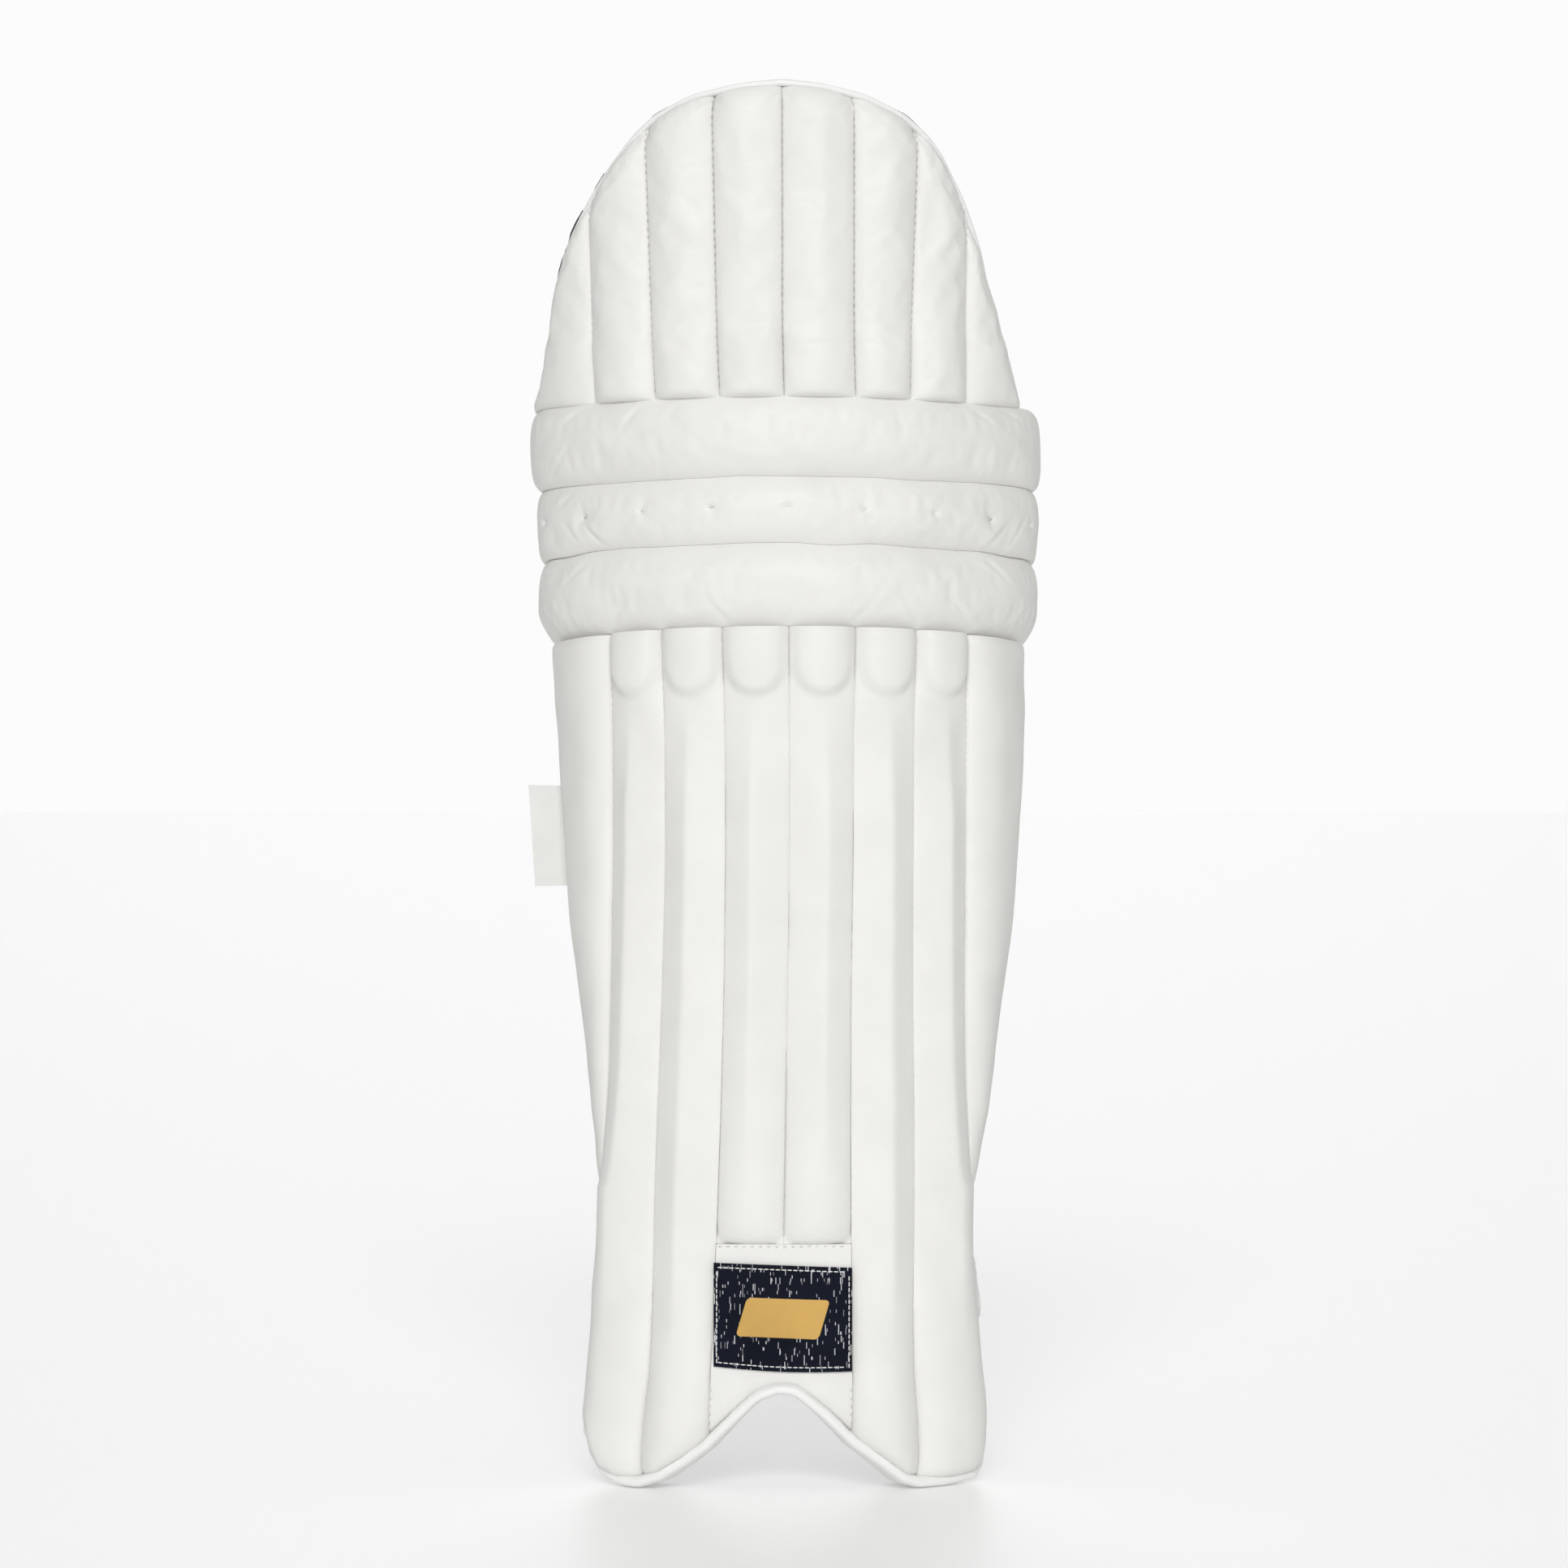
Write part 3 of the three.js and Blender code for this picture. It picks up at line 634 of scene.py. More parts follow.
FORWARD = np.array([0.0, -1.0, 0.0])
sew("instep_stitches", line, line - FORWARD, thread_with_painted_shade)

# ---- badge: a woven patch with a stitched border and a plain slanted gold bar ----
BADGE_LEFT, BADGE_RIGHT = (corner[0] * 1000 - 1.6 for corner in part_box("badge_patch"))
BADGE_FOOT, BADGE_TOP, BADGE_TILT = 64.0, 117.4, 2.6
BADGE_Y, BADGE_THICK = -139.3, 2.1
BADGE_WIDTH, BADGE_HEIGHT = 71.5, 53.0


def on_badge(u, w, proud):
    """A point of the badge's face from its share across and up."""
    x = BADGE_LEFT + (BADGE_RIGHT - BADGE_LEFT) * u
    foot = BADGE_FOOT - BADGE_TILT * u - 1.4 * np.sin(math.pi * u)
    z = (BADGE_TOP - BADGE_TILT * u) * w + (1 - w) * foot
    return np.stack([x, BADGE_Y + 1.1 * np.abs(2 * u - 1) ** 2.2 - proud, z], -1) / 1000


t, v = unit_grid(60, 46)
face = on_badge(t, v, -0.5 * (1 - pillow(t, 60) * pillow(v, 50)))
add_slab("badge_patch", face, on_badge(t, v, -BADGE_THICK), badge_cloth, "shin", "badge_fabric")
for name, start, end in (
    ("top", (0.025, 0.96), (0.975, 0.96)),
    ("bottom", (0.025, 0.045), (0.975, 0.045)),
    ("left", (0.022, 0.03), (0.022, 0.97)),
    ("right", (0.978, 0.03), (0.978, 0.97)),
):
    line = on_badge(np.linspace(start[0], end[0], 40), np.linspace(start[1], end[1], 40), 0.15)
    sew(f"badge_stitches_{name}", line, line - FORWARD, pale_thread, pitch=3.0, length=2.5, width=0.33)

BAR_X, BAR_Z, BAR_CORNER, BAR_SLANT = 19, 7.5, 2.5, 0.3
rings = []
for grow, proud in ((0.0, 0.0), (-0.15, 0.4), (-1.2, 0.55), (-6.0, 0.6), (-9.9, 0.62)):
    outline = []
    for turn, (cx, cz) in enumerate(((BAR_X, BAR_Z), (-BAR_X, BAR_Z), (-BAR_X, -BAR_Z), (BAR_X, -BAR_Z))):
        for angle in np.linspace(0, math.pi / 2, 9) + turn * math.pi / 2:
            shrink = min(0, grow + BAR_CORNER)
            r = max(0.05, BAR_CORNER + grow)
            outline.append((cx - math.copysign(shrink, cx) + r * math.cos(angle),
                            cz - math.copysign(shrink, cz) + r * math.sin(angle)))
    outline = np.array(outline)
    u = 0.5 + (outline[:, 0] + BAR_SLANT * outline[:, 1]) / BADGE_WIDTH
    rings.append(on_badge(u, 0.5 + outline[:, 1] / BADGE_HEIGHT, proud - 0.1))
add(tube("badge_emblem", np.array(rings)[::-1], gold_thread), "shin", "badge_fabric")


# ---- bindings ----
def edging(name, line, up, half_width, depth_from, depth_to, kind, swell):
    """A rounded tape wrapped around an edge."""
    normal = inward(line, up)
    a = circle(20)
    across = blunt(np.cos(a), 0.75) * half_width + half_width
    deep = (depth_from + depth_to) / 2 - blunt(np.sin(a), 0.6) * (depth_to - depth_from) / 2
    wave = 1 + swell * value_noise(np.arange(len(line)) * 3.0, 0 * line[:, 0], 4.5, 77)
    s = line[:, :1] + normal[:, :1] * across * wave[:, None]
    z = line[:, 1:] + normal[:, 1:] * across * wave[:, None]
    return tube(name, surf(s, z, deep, kind), piping)


foot_binding = edging("foot_binding", foot_line, 1, 3.2, -0.6, 20.0, "shin", 0.03)
add(foot_binding, "shin", "binding", "foot_binding")
flap_binding = edging("flap_binding", flap_line, -1, 1.9, 3.2, 14.0, "flap", 0.05)
add(flap_binding, "top_flap", "binding", "flap_binding", blend=FLAP_BLEND)


# ---- top flap ----
def flap_seam(k, z):
    low, high, top = FLAP_SEAMS[k + 3]
    x = low + (high - low) * (np.asarray(z, float) - FLAP_SEAM_FOOT) / (top - FLAP_SEAM_FOOT)
    near = (CAMERA_DISTANCE - np.sqrt(SHELL_R ** 2 - x ** 2) / 1000) / FRONT_DISTANCE
    return arc_of(x * near)


def flap_edge_s(z, side):
    half = flap_line[:81] if side < 0 else flap_line[:79:-1]
    return np.interp(z, half[:, 1], np.abs(half[:, 0]))


def flap_edge_z(s):
    return np.interp(s, flap_line[:, 0], flap_line[:, 1])


def seam_end(k):
    """Height at which a flap seam meets the flap's edge."""
    return float(flap_edge_z(flap_seam(k, FLAP_SEAMS[k + 3][2])))


def flap_channel(i):
    k0, k1 = i - 4, i - 3
    t, v = unit_grid(34, 130)
    bottom = 564.2 - 1.5 * (abs(i - 3.5) / 3.5) ** 2
    if i in (0, 7):
        side, seam_k = (-1, k1) if i == 0 else (1, k0)
        top = float(flap_edge_z(flap_seam(seam_k, 655))) - 2.5
        z = bottom + (top - bottom) * v
        near = np.abs(flap_seam(seam_k, z)) + SEAM_GAP
        far = np.maximum(flap_edge_s(z, side) - 3.0, near + 0.4)
        t_in = t if side > 0 else 1 - t
        s = side * (near + (far - near) * t_in)
        width = far - near
        profile = np.where(t_in < 0.5, cushion(t_in), 1.0) * 5.4 * smooth(0, 14, width)
    else:
        s = flap_seam(k0, 640) * (1 - t) + flap_seam(k1, 640) * t
        z = bottom + (flap_edge_z(s) - 3.0 - bottom) * v
        s = (flap_seam(k0, z) + SEAM_GAP) * (1 - t) + (flap_seam(k1, z) - SEAM_GAP) * t
        width = np.abs(flap_seam(k1, z) - flap_seam(k0, z))
        profile = cushion(t) * 6.4
    gap = nearest(s, z, flap_line) - 2.6
    edge_drop = bevel(gap, 13, 7.5)
    base_share = bevel(z - bottom, 5, 0.9)
    from_seam = np.minimum(t, 1 - t) * width
    # the lower padding is a little fuller, with a soft step above it
    step = 1.6 * smooth(603, 593, z) * cushion(t, 4)
    lumps = 0.5 * value_noise(s, z, 30, 100 + i) + 0.3 * value_noise(s, z, 11, 120 + i)
    pucker = 0.22 * value_noise(z, s * 0.2, 2.4, 140 + i) * near_seam(t, width)
    # gathers run from the bound edge, most of them beside the seams, and fan out where a seam ends
    gather = value_noise(s + 0.35 * z, z * 0.1, 3.4, 160 + i) * within(gap, 11)
    gather = gather * (0.35 + 0.9 * near_seam(t, width, 9))
    for k in (k0, k1):
        if abs(k) < 4:
            off, above = s - flap_seam(k, z), z - (seam_end(k) - 5)
            r, turn = np.hypot(off, above), np.arctan2(above, np.abs(off))
            gather = gather + 0.7 * np.cos(7 * turn + 2 * k + i) * bump_at(r, 0, 8) * smooth(0, 3, r)
            edge_drop = edge_drop + 0.9 * bump_at(r, 0, 4.5)
    depth = 1.9 - profile * (1 - 0.2 * within(gap, 12)) - step + edge_drop
    depth = depth - lumps * cushion(t, 5) - pucker - gather
    depth = depth * (1 - base_share) + 0.6 * base_share
    thick = COVER_BACK - 8.5 * within(gap, 15) ** 2
    outer = surf(s, z, np.minimum(depth, thick - 1.5), "flap")
    name = f"flap_channel_{i + 1}"
    obj = slab(name, outer, surf(s, z, thick, "flap"), hide)
    free = smooth(0, 3, from_seam) * smooth(1, 5, gap) * smooth(1, 7, z - bottom)
    stuff(obj, np.concatenate([1 - free.ravel(), np.ones(free.size)]), free.shape, extra=0.008)
    add(obj, "top_flap", "hide", name, padded=0.8, blend=FLAP_BLEND)


for index in range(8):
    flap_channel(index)
for k in range(-3, 4):
    top = seam_end(k) - 3
    heights = np.linspace(top, 567, 110)
    side, drop = flap_seam(k, heights), bevel(top - heights, 13, 6.5)
    line = surf(side, heights, 1.35 + drop, "flap")
    deeper = surf(side, heights, 8 + drop, "flap")
    # the middle flap seams get the grey thread, whose darkness is painted shade of the needle holes
    cotton = thread_with_painted_shade if abs(k) < 3 else pale_thread
    sew(f"flap_stitches_{k + 4}", line, deeper, cotton, "top_flap", blend=FLAP_BLEND)

# the dark lining
LINING_FOOT = 560.5
t, v = unit_grid(120, 70, -1)
s = t * np.where(t < 0, flap_edge_s(LINING_FOOT + 0.5, -1), flap_edge_s(LINING_FOOT + 0.5, 1))
z = LINING_FOOT + (np.maximum(flap_edge_z(s) - 0.6, LINING_FOOT + 2) - LINING_FOOT) * v
near_edge = within(nearest(s, z, flap_line), 15) ** 2
seam_dip = sum(bump_at(s, float(flap_seam(k, 640)), 2.2) for k in range(-3, 4))
front = surf(s, z, 21.0 - 6.6 * near_edge, "flap")
back = surf(s, z, 26.0 - 7.5 * near_edge - 1.0 * seam_dip + 0.4 * value_noise(s, z, 25, 9), "flap")
add_slab("flap_lining", front, back, dark_cloth, "top_flap", "dark_lining", 0.3, FLAP_BLEND)
# its rim is folded over the back of the binding, and peeks out past it in a few places:
# side, lowest and highest point, and how far it stands out
PEEKS = [(-1, 624, 652, 4.9), (-1, 640, 668, 3.3), (-1, 674, 686, 2.1), (-1, 710, 717, 1.0), (1, 702, 716, 1.1)]
RIM_HALF, RIM_DEPTH, RIM_BACK = 1.6, 8.5, 9.3
part = flap_line[flap_line[:, 1] > 567]
away = inward(part, 1)
peek, front_half = np.full(len(part), 0.35), np.full(len(part), 1.5)
for side, lowest, highest, amount in PEEKS:
    share = np.clip((part[:, 1] - lowest) / (highest - lowest), 0, 1) * (part[:, 0] * side > 0)
    swell = np.maximum(0, np.sin(math.pi * share)) ** 0.35
    swell = swell * (0.85 + 0.2 * value_noise(part[:, 1], part[:, 0], 5.0, 81))
    peek = np.maximum(peek, amount * swell)
    front_half = np.maximum(front_half, 1.5 + 2.7 * np.minimum(1, 2 * swell))
a = circle(24)
out = np.cos(a) * RIM_HALF + (peek - RIM_HALF)[:, None]
deep = RIM_DEPTH - np.where(np.sin(a) > 0, front_half[:, None], RIM_BACK) * np.sin(a)
rings = surf(part[:, :1] + away[:, :1] * out, part[:, 1:] + away[:, 1:] * out, deep, "flap")
add(tube("flap_lining_rim", rings, dark_cloth), "top_flap", "dark_lining", blend=FLAP_BLEND)

# ---- knee rolls ----
ROLL_END, ROLL_ROUND, ROLL_BACK = 196.0, 13, 29.0
ROLL_MIDDLE_DEPTH = 13.0
# crown of each roll, and how far its seams rise towards the sides
CROWN = {"lower": 9.0, "middle": 6.8, "upper": 8.4}
SEAM_RISE = {"lower": 0.9, "middle": 3.2, "upper": 4.0}
TUFT_HEIGHTS = (503.2, 504.4, 506.2, 507.4, 507.6, 506.4, 505, 503.4, 502)
TUFTS = [(39.4 * (k - 4), height) for k, height in enumerate(TUFT_HEIGHTS)]
# distance around, height, slope, length, breadth, depth
CREASES = {
    "upper": [(-82, 556, 1.1, 9, 1.7, 1.5), (-122, 558, 0.45, 9, 1.6, 1.5), (-58, 558, 0.8, 7, 1.6, 0.8),
              (110, 557, -0.6, 10, 1.7, 1.2), (134, 559, -0.3, 9, 1.6, 1.4), (-134, 534, 0.8, 9, 1.6, 1.0)],
    "middle": [(-111, 494, -0.9, 9, 1.6, 1.6), (-129, 497, -1.0, 7, 1.5, 1.0), (124, 495, 0.8, 9, 1.6, 1.3),
               (142, 499, 1.0, 9, 1.5, 1.2), (-134, 514, 0.6, 7, 1.5, 0.8)],
    "lower": [(-66, 450, 1.2, 10, 1.6, 1.2), (-34, 451, -1.2, 9, 1.5, 1.1), (0, 451, 1.5, 8, 1.4, 0.9),
              (36, 451, 1.2, 9, 1.5, 1.1), (68, 450, -1.2, 10, 1.6, 1.2), (118, 479, -0.8, 12, 1.8, 1.2),
              (-122, 476, 0.7, 10, 1.8, 1.0), (100, 449, -0.9, 11, 1.6, 1.1), (-98, 449, 1.0, 11, 1.6, 1.1)],
}


def seam_z(height, s):
    """A knee seam falls towards the sides. The two between rolls also wander a little."""
    between = height in (488.5, 523.0)
    wobble = 0.7 * value_noise(s, 0 * s, 23, int(height)) if between else 0
    return height - SEAM_FALL[height] * np.minimum(1.3, np.abs(s) / FALL_REACH) ** 2 + wobble


def knee_roll(name):
    z0, z1 = ROLL_SEAMS[name]
    count, fronts, backs = 320, 72, 30
    across = np.linspace(-1, 1, count)
    s = np.sign(across) * (1 - (1 - np.abs(across)) ** 1.25) * ROLL_END
    end = np.clip((np.abs(s) - (ROLL_END - ROLL_ROUND)) / ROLL_ROUND, 0, 1)
    taper = np.maximum(np.sqrt(np.maximum(0, 1 - end ** 2.4)), 0.04)[:, None]
    low, high = seam_z(z0, s) + SEAM_GAP, seam_z(z1, s) - SEAM_GAP
    middle, half_h = ((low + high) / 2)[:, None], ((high - low) / 2)[:, None]
    # around the section: up its front, then down its back
    up_front = np.sin(np.linspace(-math.pi / 2, math.pi / 2, fronts))
    turn = np.linspace(0, math.pi, backs + 2)[1:-1]
    up = np.concatenate([up_front, blunt(np.cos(turn), 0.5)])[None, :]
    share = np.concatenate([np.zeros(fronts), np.sin(turn) ** 0.5])[None, :]
    facing = np.concatenate([1 - up_front ** 4, np.zeros(backs)])[None, :] * np.ones((count, 1))
    at_side = smooth(95, 165, np.abs(s))[:, None]
    crown = (1 - np.abs(up) ** (2.3 + 3.5 * at_side)) ** 0.85
    height = CROWN[name] - 3.9 * at_side
    seam_depth = 2.6 - 0.6 * at_side - SEAM_RISE[name] * at_side
    if name == "upper":
        seam_depth = seam_depth - 1.6 * smooth(0.2, 1, up) * (1 - at_side)
    depth = np.where(share > 0, seam_depth + (ROLL_BACK - seam_depth) * share, seam_depth - height * crown)
    if name == "lower":
        depth = depth + 6.0 * at_side * smooth(-0.1, -1.0, up) * (share == 0)
    depth = ROLL_MIDDLE_DEPTH + (depth - ROLL_MIDDLE_DEPTH) * taper
    s = np.repeat(s[:, None], up.shape[1], 1)
    z = middle + half_h * up * (0.72 + 0.28 * taper)
    push = 0.8 * value_noise(s, z, 34, 200 + int(z0)) + 0.45 * value_noise(s, z, 13, 220 + int(z0))
    push = push + 0.16 * value_noise(s, z * 0.6, 4.5, 240 + int(z0))
    # small gathers along the seams
    rim = np.abs(up) ** 4 * (0.6 + 0.6 * (up < 0))
    push = push + 0.6 * value_noise(s, z * 0.2, 5.2, 260 + int(z0)) * rim
    depth = depth - push * facing
    for cs, cz, slope, length, breadth, deep in CREASES[name]:
        norm = math.hypot(1, slope)
        along = ((s - cs) + (z - cz) * slope) / norm
        off = ((z - cz) - (s - cs) * slope) / norm
        fold = bump_at(off, 0, breadth) - 0.45 * bump_at(off, breadth * 2.1, breadth * 1.4)
        depth = depth + 0.6 * deep * bump_at(along, 0, length) * fold * facing
    if name == "middle":
        for ts, tz in TUFTS:
            r = np.hypot(s - ts, (z - tz) * 1.15)
            dimple = 1.1 * bump_at(r, 0, 6.0) + 1.7 * bump_at(r, 0, 1.7)
            folds = 0.16 * np.cos(3 * np.arctan2(z - tz, s - ts) + ts) * bump_at(r, 5, 3)
            depth = depth + (dimple + folds) * facing
    obj = tube(f"knee_roll_{name}", surf(s, z, depth, "roll"), hide, sharp=70)
    free = facing * smooth(1, 0.9, np.abs(up)) * smooth(ROLL_END, ROLL_END - 14, np.abs(s))
    stuff(obj, 1 - free.ravel(), free.shape)
    add(obj, f"knee_{name}", "hide", f"knee_roll_{name}", padded=0.9, blend=ROLL_BLEND[name])


for name in ROLL_SEAMS:
    knee_roll(name)

for j, (ts, tz) in enumerate(TUFTS):
    steps = np.linspace(-1, 1, 9)
    s, z = ts + steps * 1.5, tz + steps * 0.4
    line = surf(s, z, -2.2 + 0.4 * steps ** 2, "roll")
    sew(f"tuft_{j + 1}", line, surf(s, z, 9, "roll"), thread_with_painted_shade, "knee_middle", blend=ROLL_BLEND["middle"],
        pitch=1.6, length=1.8, width=0.35)
s = np.linspace(-70, 70, 90)
z = seam_z(523.0, s) + 0.6
sew("roll_stitches", surf(s, z, 2.3, "roll"), surf(s, z, 9, "roll"), pale_thread, "knee_middle",
    pitch=4.4, length=2.8, width=0.24)

# ---- wings: a padded front, and a well where it meets the strap behind it ----
WING_TOP = 444


def wing(side, label):
    t, v = unit_grid(90, 200)
    z = SHIN_FOOT + (WING_TOP - SHIN_FOOT) * v
    start = np.abs(seam(3, z)) + 0.2
    width = reach_of(at(WING_REAR, z) - 3.5, z) - start
    s = start + width * t
    top_line = top_of_shin(s) - 0.3
    z = SHIN_FOOT + (top_line - SHIN_FOOT) * v
    pad = at(WING_DEPTH, z)
    from_rear, from_seam = (1 - t) * width, t * width
    well = smooth(0.86, 1.12, t / np.interp(z, [100, 260, 404], [0.28, 0.45, 0.6]))
    swell = 2.2 + 5.8 * smooth(120, 220, z)
    swell = swell * (1 - within(from_seam, 22) ** 2) ** 0.8 + 1.6
    lumps = 0.6 * value_noise(s, z, 40, 300) + 0.3 * value_noise(s, z, 15, 301)
    depth = (2.4 - swell) * (1 - well) + 2.5 * well
    depth = depth + bevel(top_line - z, 5, 1.6) + bevel(z - SHIN_FOOT, 12, 3.0)
    depth = depth + bevel(from_rear, 7, 2.4) * (1 - well)
    depth = np.minimum(depth - lumps * smooth(0, 10, from_seam) * (1 - well), pad - 3)
    back = surf(side * s, z, pad - 0.3)
    add_slab(f"wing_{label}", surf(side * s, z, depth), back, hide, "shin", "hide", 0.7)

    front = surf(side * s, z, pad + 0.1)
    quilt = 0.8 * pillow(t, 4) * pillow(v, 10) + 0.5 * value_noise(s, z, 30, 303)
    back = surf(side * s, z, pad + 2.2 + quilt)
    add_slab(f"wing_lining_{label}", front, back, pale_cloth, "shin", "inner_fabric", 0.3)

    heights = np.linspace(22, 439, 150)[:, None]
    s = reach_of(at(WING_REAR, heights) - 3.0, heights)
    a = circle(18)
    deep = 0.5 + 0.5 * blunt(np.sin(a), 0.7)
    depth = 2.2 + (at(WING_DEPTH, heights) + 1.8) * deep
    rings = surf(side * (s + blunt(np.cos(a), 0.8) * 2.1), heights, depth)
    name = f"wing_binding_{label}"
    add(tube(name, rings, piping), "shin", "binding", name)


wing(-1, "left")
wing(1, "right")

# ---- backing, whose edges wrap round the canes ----
EDGE_COLUMNS = np.array([99.6, 100.2, 100.7])
columns = np.concatenate([-EDGE_COLUMNS[::-1], np.linspace(-99.2, 99.2, 101), EDGE_COLUMNS])
s, v = np.meshgrid(columns, np.linspace(0, 1, 121))
t = s / EDGE_COLUMNS[-1]
low = foot_height(s, 3.0)
z = low + (443 - 6 * t ** 2 - low) * v
seam_dip = sum(bump_at(s, float(seam(k, 250)), 2.0) for k in range(-2, 3))
rim = pillow((t + 1) / 2, 40) * pillow(v, 60)
front = surf(s, z, np.where(np.abs(s) > 99.4, 20.9, 25.8))
back = surf(s, z, 27.0 + (3.6 - 1.2 * seam_dip + 0.5 * value_noise(s, z, 28, 400)) * rim)
add_slab("shin_backing", front, back, pale_cloth, "shin", "inner_fabric", 0.35)

# ---- bolsters, quilted at two heights ----
BOLSTER_S, BOLSTER_WIDTH, BOLSTER_FOOT, BOLSTER_LENGTH, BOLSTER_ROUND = 36, 42, 110, 310, 16
for side, label in ((-1, "left"), (1, "right")):
    t, v = unit_grid(40, 150)
    s = side * (BOLSTER_S + BOLSTER_WIDTH * t)
    z = BOLSTER_FOOT + BOLSTER_LENGTH * v
    round_end = within(np.minimum(v, 1 - v) * BOLSTER_LENGTH, BOLSTER_ROUND)
    body = pillow(t, 2.3, 0.55) * np.sqrt(1 - round_end ** 2)
    band = 3.2 * (bump_at(z, 213, 3) + bump_at(z, 317, 3))
    lumps = 0.6 * value_noise(s, z, 22, 410) + 0.3 * value_noise(s, z, 9, 411)
    front, back = surf(s, z, 30.8), surf(s, z, 31.4 + (17.0 + lumps - band) * body)
    add_slab(f"shin_bolster_{label}", front, back, pale_cloth, "shin", "inner_fabric", 0.85)

# ---- knee linings ----
for name, (z0, z1) in ROLL_SEAMS.items():
    t, v = unit_grid(120, 26, -1)
    s = 178 * t
    low, high = seam_z(z0, s) + 0.6, seam_z(z1, s) - 0.6
    z = low + (high - low) * v
    body = pillow((t + 1) / 2, 30) * pillow(v, 4)
    back = surf(s, z, 30.2 + (3.4 + 0.4 * value_noise(s, z, 18, 420 + int(z0))) * body, "roll")
    front = surf(s, z, 29.4, "roll")
    add_slab(f"knee_lining_{name}", front, back, pale_cloth, f"knee_{name}", "inner_fabric", 0.4,
             ROLL_BLEND[name])

# ---- straps: each a hoop from its anchor on the left wing to a patch on the right one ----
# height, Y of the sewn end, length of the free end, Y of the hoop's back
STRAPS = {"top": (402, -8, 30, 42), "middle": (259, -20, 42, 44), "ankle": (101, -48, 34, 4)}
STRAP_WIDTH, STRAP_THICK, HOOP_SHARE = 38.0, 2.6, 0.84
# layers, as heights above the wing's face
LOOP_FROM, TAPE = -2.15, 1.0
HOOK_FROM = LOOP_FROM + TAPE + 0.35
STRAP_FROM = HOOK_FROM + TAPE + 1.05
STRAP_TO = STRAP_FROM + STRAP_THICK


def strap_grid(label, offset):
    height, end_y, tip, back_y = STRAPS[label]
    u, v = unit_grid(240, 14)
    z = height - STRAP_WIDTH / 2 + STRAP_WIDTH * v
    root = reach_of(float(end_y), z)
    end = surf(root, z, -offset) * 1000
    lean = at(LEAN, z)
    a = math.pi * (1 - u / HOOP_SHARE)
    back = np.sin(np.clip(a, 0, math.pi)) ** 0.7
    hoop = np.stack([(end[..., 0] - lean) * blunt(np.cos(a), 0.7) + lean,
                     end[..., 1] + (back_y + offset - end[..., 1]) * back, z], -1)
    # the free end narrows to a rounded tip
    share = np.clip((u - HOOP_SHARE) / (1 - HOOP_SHARE), 0, 1)
    pinch = np.sqrt(np.maximum(0, 1 - np.clip((share - 0.72) / 0.28, 0, 1) ** 2.5))
    z_tip = height + (z - height) * (0.25 + 0.75 * pinch)
    flat = surf(root - tip * share, np.where(u > HOOP_SHARE, z_tip, z), -offset) * 1000
    return np.where((u > HOOP_SHARE)[..., None], flat, hoop) / 1000


def patch(name, label, mat, slot, body, side, ahead, margin, start, thick):
    """A flat layer on a wing, reaching ahead of the strap's end."""
    height, end_y = STRAPS[label][:2]
    u, v = unit_grid(40, 30)
    z = height - STRAP_WIDTH / 2 + margin + (STRAP_WIDTH - 2 * margin) * v
    s = side * (reach_of(float(end_y), z) - (ahead[0] + (ahead[1] - ahead[0]) * u))
    rim = pillow(u, 40) * pillow(v, 40)
    rough = 0.12 * value_noise(s, z, 1.6, 500)
    face = surf(s, z, -(start + thick * (0.6 + 0.4 * rim) + rough))
    add_slab(f"{name}_{label}", face, surf(s, z, -start), mat, body, slot)


for label, (height, end_y, tip, back_y) in STRAPS.items():
    body = f"strap_{label}"
    outer, inner = strap_grid(label, STRAP_TO), strap_grid(label, STRAP_FROM)
    add_slab(body, outer, inner, web_cloth, body, "webbing")
    for j, row in ((1, 1), (2, 13)):
        line, out = outer[row, 6:], (outer - inner)[row, 6:]
        line = line + out * 0.02
        sew(f"{body}_edge_{j}", line, line - out, pale_thread, body, "webbing", length=3.0, width=0.3)
    patch("loop_patch", label, loop_cloth, "loop_tape", "shin", 1, (6, tip - 2), 3, LOOP_FROM, TAPE)
    patch("hook_tape", label, hook_cloth, "hook_tape", body, 1, (6, tip - 5), 6, HOOK_FROM, TAPE)
    # the ankle strap needs room behind its anchor to swing
    anchor_from, anchor_to = 5.5 if label == "ankle" else 1, 25
    patch("strap_anchor", label, web_cloth, "webbing", "shin", -1, (anchor_from, anchor_to), 0,
          LOOP_FROM, STRAP_TO - LOOP_FROM)
    # a sewn box with a diagonal
    near, far, half = anchor_from + 2.5, anchor_to - 2.5, 15
    box = np.array([(near, -half), (far, -half), (far, half), (near, half), (near, -half), (far, half)], float)
    points = np.concatenate([np.linspace(one, other, 14) for one, other in zip(box[:-1], box[1:])])
    z = height + points[:, 1]
    s = -(reach_of(float(end_y), z) - points[:, 0])
    sew(f"{body}_box", surf(s, z, -(STRAP_TO + 0.2)), surf(s, z, 4), pale_thread, "shin", "webbing",
        pitch=3.4, length=2.6, width=0.33)

# ---- side tag, sewn in at its right end and a little wavy at its free end ----
TAG_THICK, TAG_UNDER, TAG_FREE = 0.9, 1.2, 1.7
low_corner, high_corner = (np.array(corner) * 1000 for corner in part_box("side_tag"))
size = high_corner - low_corner
t, v = unit_grid(30, 60)
x = high_corner[0] + TAG_UNDER - (size[0] + TAG_UNDER + TAG_FREE) * t
x = x - 3.6 * (v - 0.5) * t + at(LEAN, 337.0) * 0.2
z = low_corner[2] + size[2] * v + 0.42 * (1 - t) * (1 - 2 * v)
y = (low_corner[1] + high_corner[1]) / 2 - 0.9 * np.sin(2.6 * v + 1.0) * t - 1.1 * t ** 2
outer, inner = (np.stack([x, y + off, z], -1) / 1000 for off in (-TAG_THICK / 2, TAG_THICK / 2))
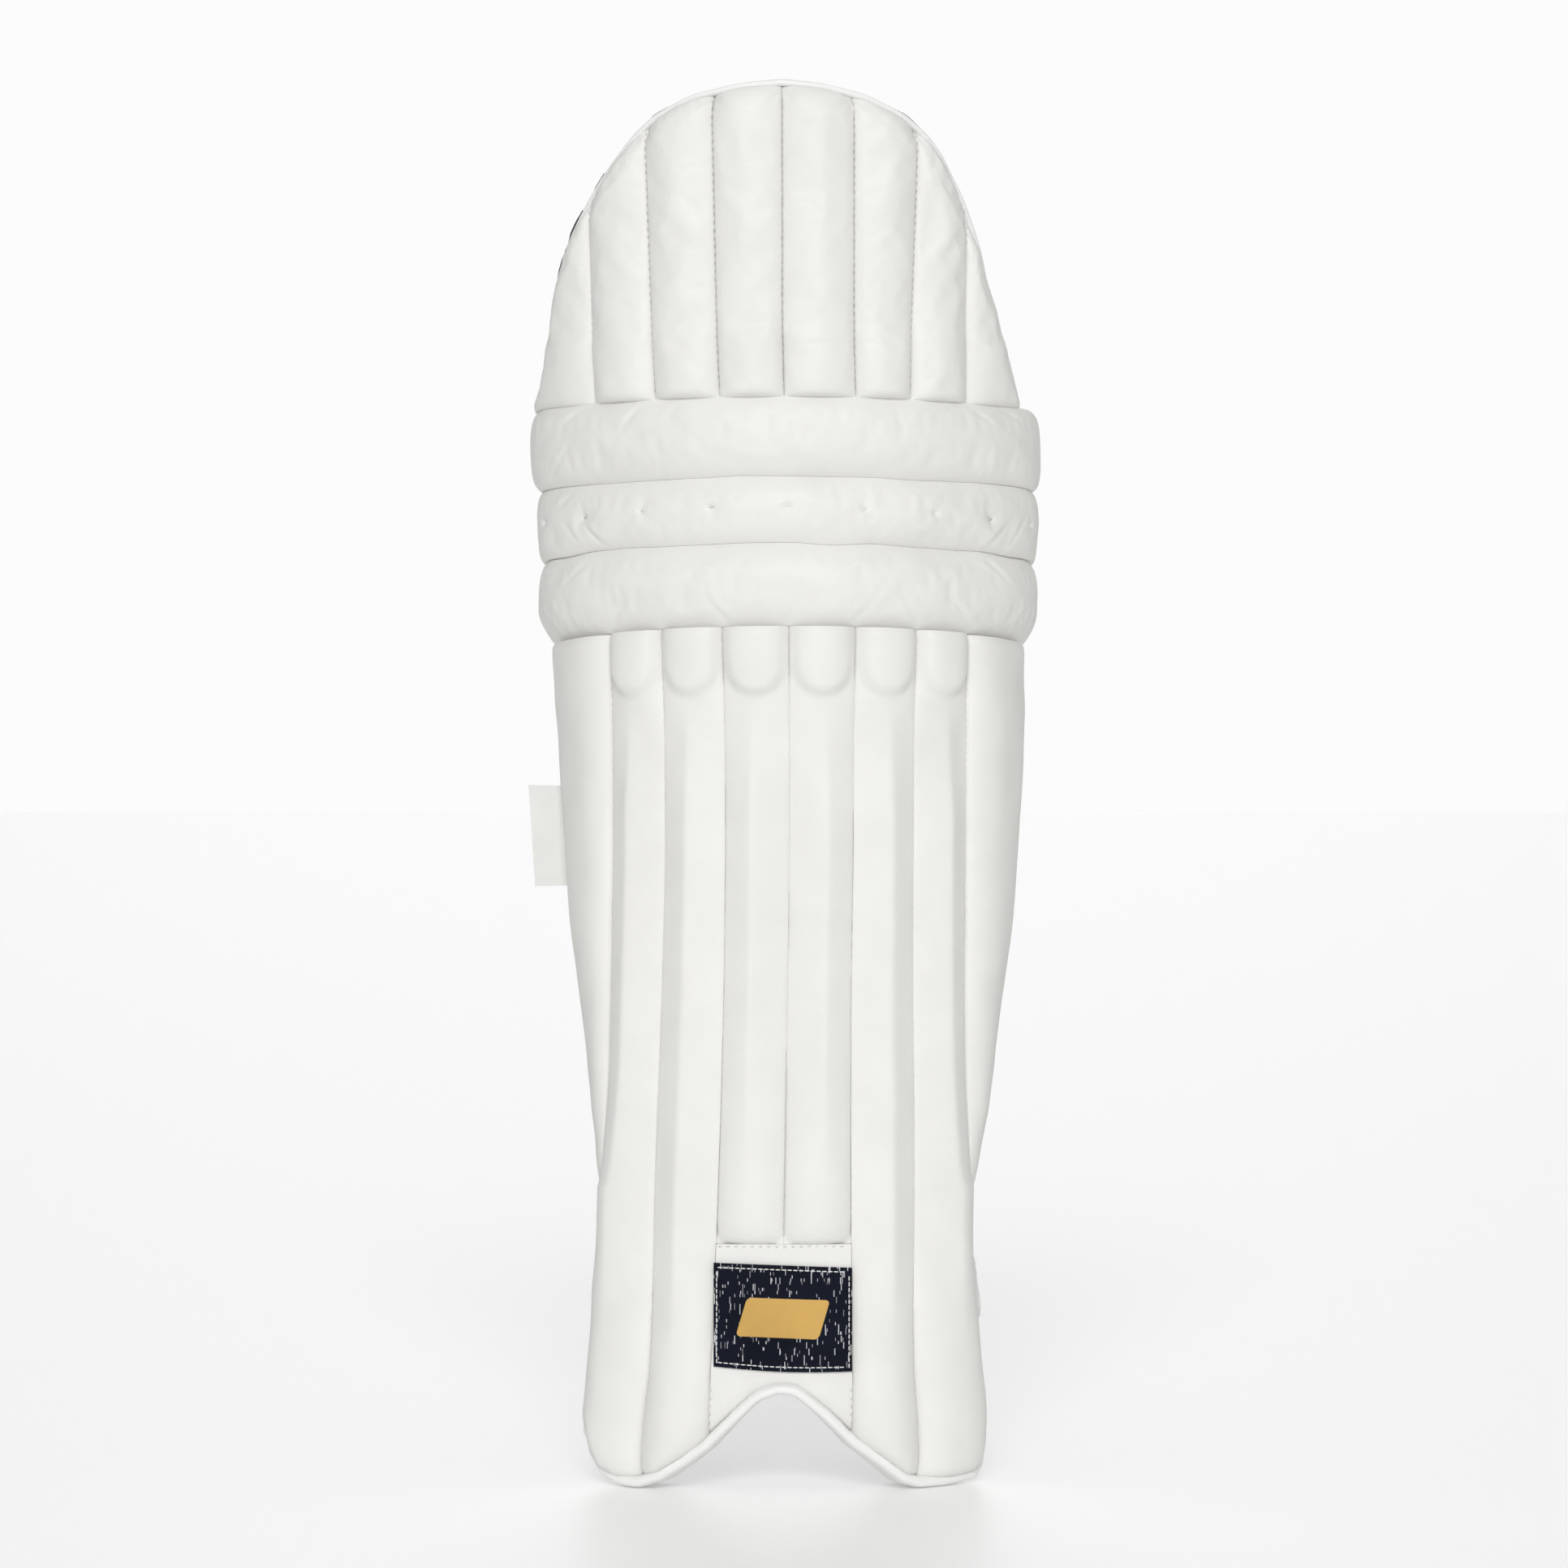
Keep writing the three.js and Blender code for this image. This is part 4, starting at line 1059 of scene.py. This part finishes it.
tag = add_slab("side_tag", outer, inner, label_cloth, "tag", "label")

# ---- split canes keep their CAD shape ----
for i in range(1, 7):
    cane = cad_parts[f"shin_cane_{i}"]
    cane.data.materials.clear()
    cane.data.materials.append(cane_wood)

# ---- floor, light and camera ----
FLOOR_HALF, FLOOR_Z, WHITE = 60, -0.002, (1, 1, 1, 1)
floor_mat, tree, shader = new_material("floor")
plug(tree, shader, {"Base Color": (0.9, 0.9, 0.9, 1), "Roughness": 0.45,
                    "Emission Color": WHITE, "Emission Strength": 0.12})
corners = [(x * FLOOR_HALF, y * FLOOR_HALF, 0) for x, y in ((-1, -1), (1, -1), (1, 1), (-1, 1))]
mesh = bpy.data.meshes.new("floor")
mesh.from_pydata(corners, [], [(0, 1, 2, 3)])
mesh.materials.append(floor_mat)
floor = new_object("floor", mesh)
floor.location.z = FLOOR_Z

# the studio: bright from the horizon up, dark above it so that the pad is modelled, bright again overhead
SKY = [(0.0, 0.97), (0.16, 0.97), (0.24, 0.12), (0.6, 0.12), (0.85, 0.84), (1.0, 0.84)]
world = bpy.data.worlds.new("studio")
world.use_nodes = True
sky = world.node_tree
ways = node(sky, "SeparateXYZ", {"Vector": node(sky, "TexCoord").outputs["Generated"]})
rise = node(sky, "ValToRGB", {"Fac": ways.outputs["Z"]})
while len(rise.color_ramp.elements) < len(SKY):
    rise.color_ramp.elements.new(0.5)
for stop, (spot, level) in zip(rise.color_ramp.elements, SKY):
    stop.position, stop.color = spot, (level, level, level, 1)
# its sides are darker than its front and back
side = node(sky, "Math", {0: ways.outputs["X"]}, operation="ABSOLUTE").outputs["Value"]
fall = node(sky, "MapRange", {"Value": side, "From Min": 0.35, "From Max": 0.9, "To Min": 1.0, "To Max": 0.55})
dim = node(sky, "VectorMath", {0: rise.outputs["Color"], "Scale": fall.outputs["Result"]}, operation="SCALE")
plug(sky, sky.nodes["Background"], {"Color": dim.outputs["Vector"], "Strength": 1.0})
bpy.context.scene.world = world
bpy.context.scene.view_settings.view_transform = "Standard"


def soft_light(name, place, spread, power):
    """A sun with a wide disc, aimed at the middle of the pad."""
    data = bpy.data.lights.new(name, "SUN")
    data.angle = math.radians(spread)
    data.energy = power
    light = new_object(name, data)
    light.location = place
    light.rotation_euler = (Vector((0, 0, 0.36)) - Vector(place)).to_track_quat("-Z", "Y").to_euler()


soft_light("key", (-0.04, -2.7, 1.65), 24, 1.52)
soft_light("back", (0.0, 2.6, 1.5), 40, 0.45)

camera_data = bpy.data.cameras.new("camera")
camera_data.sensor_width = SENSOR_WIDTH
camera_data.lens = SENSOR_WIDTH * FRONT_DISTANCE / VIEW_WIDTH
camera_data.clip_end = 100
camera = new_object("camera", camera_data)
camera.location = (-0.001, -CAMERA_DISTANCE, CAMERA_HEIGHT)
camera.rotation_euler = (math.radians(90), 0, 0)
bpy.context.scene.camera = camera
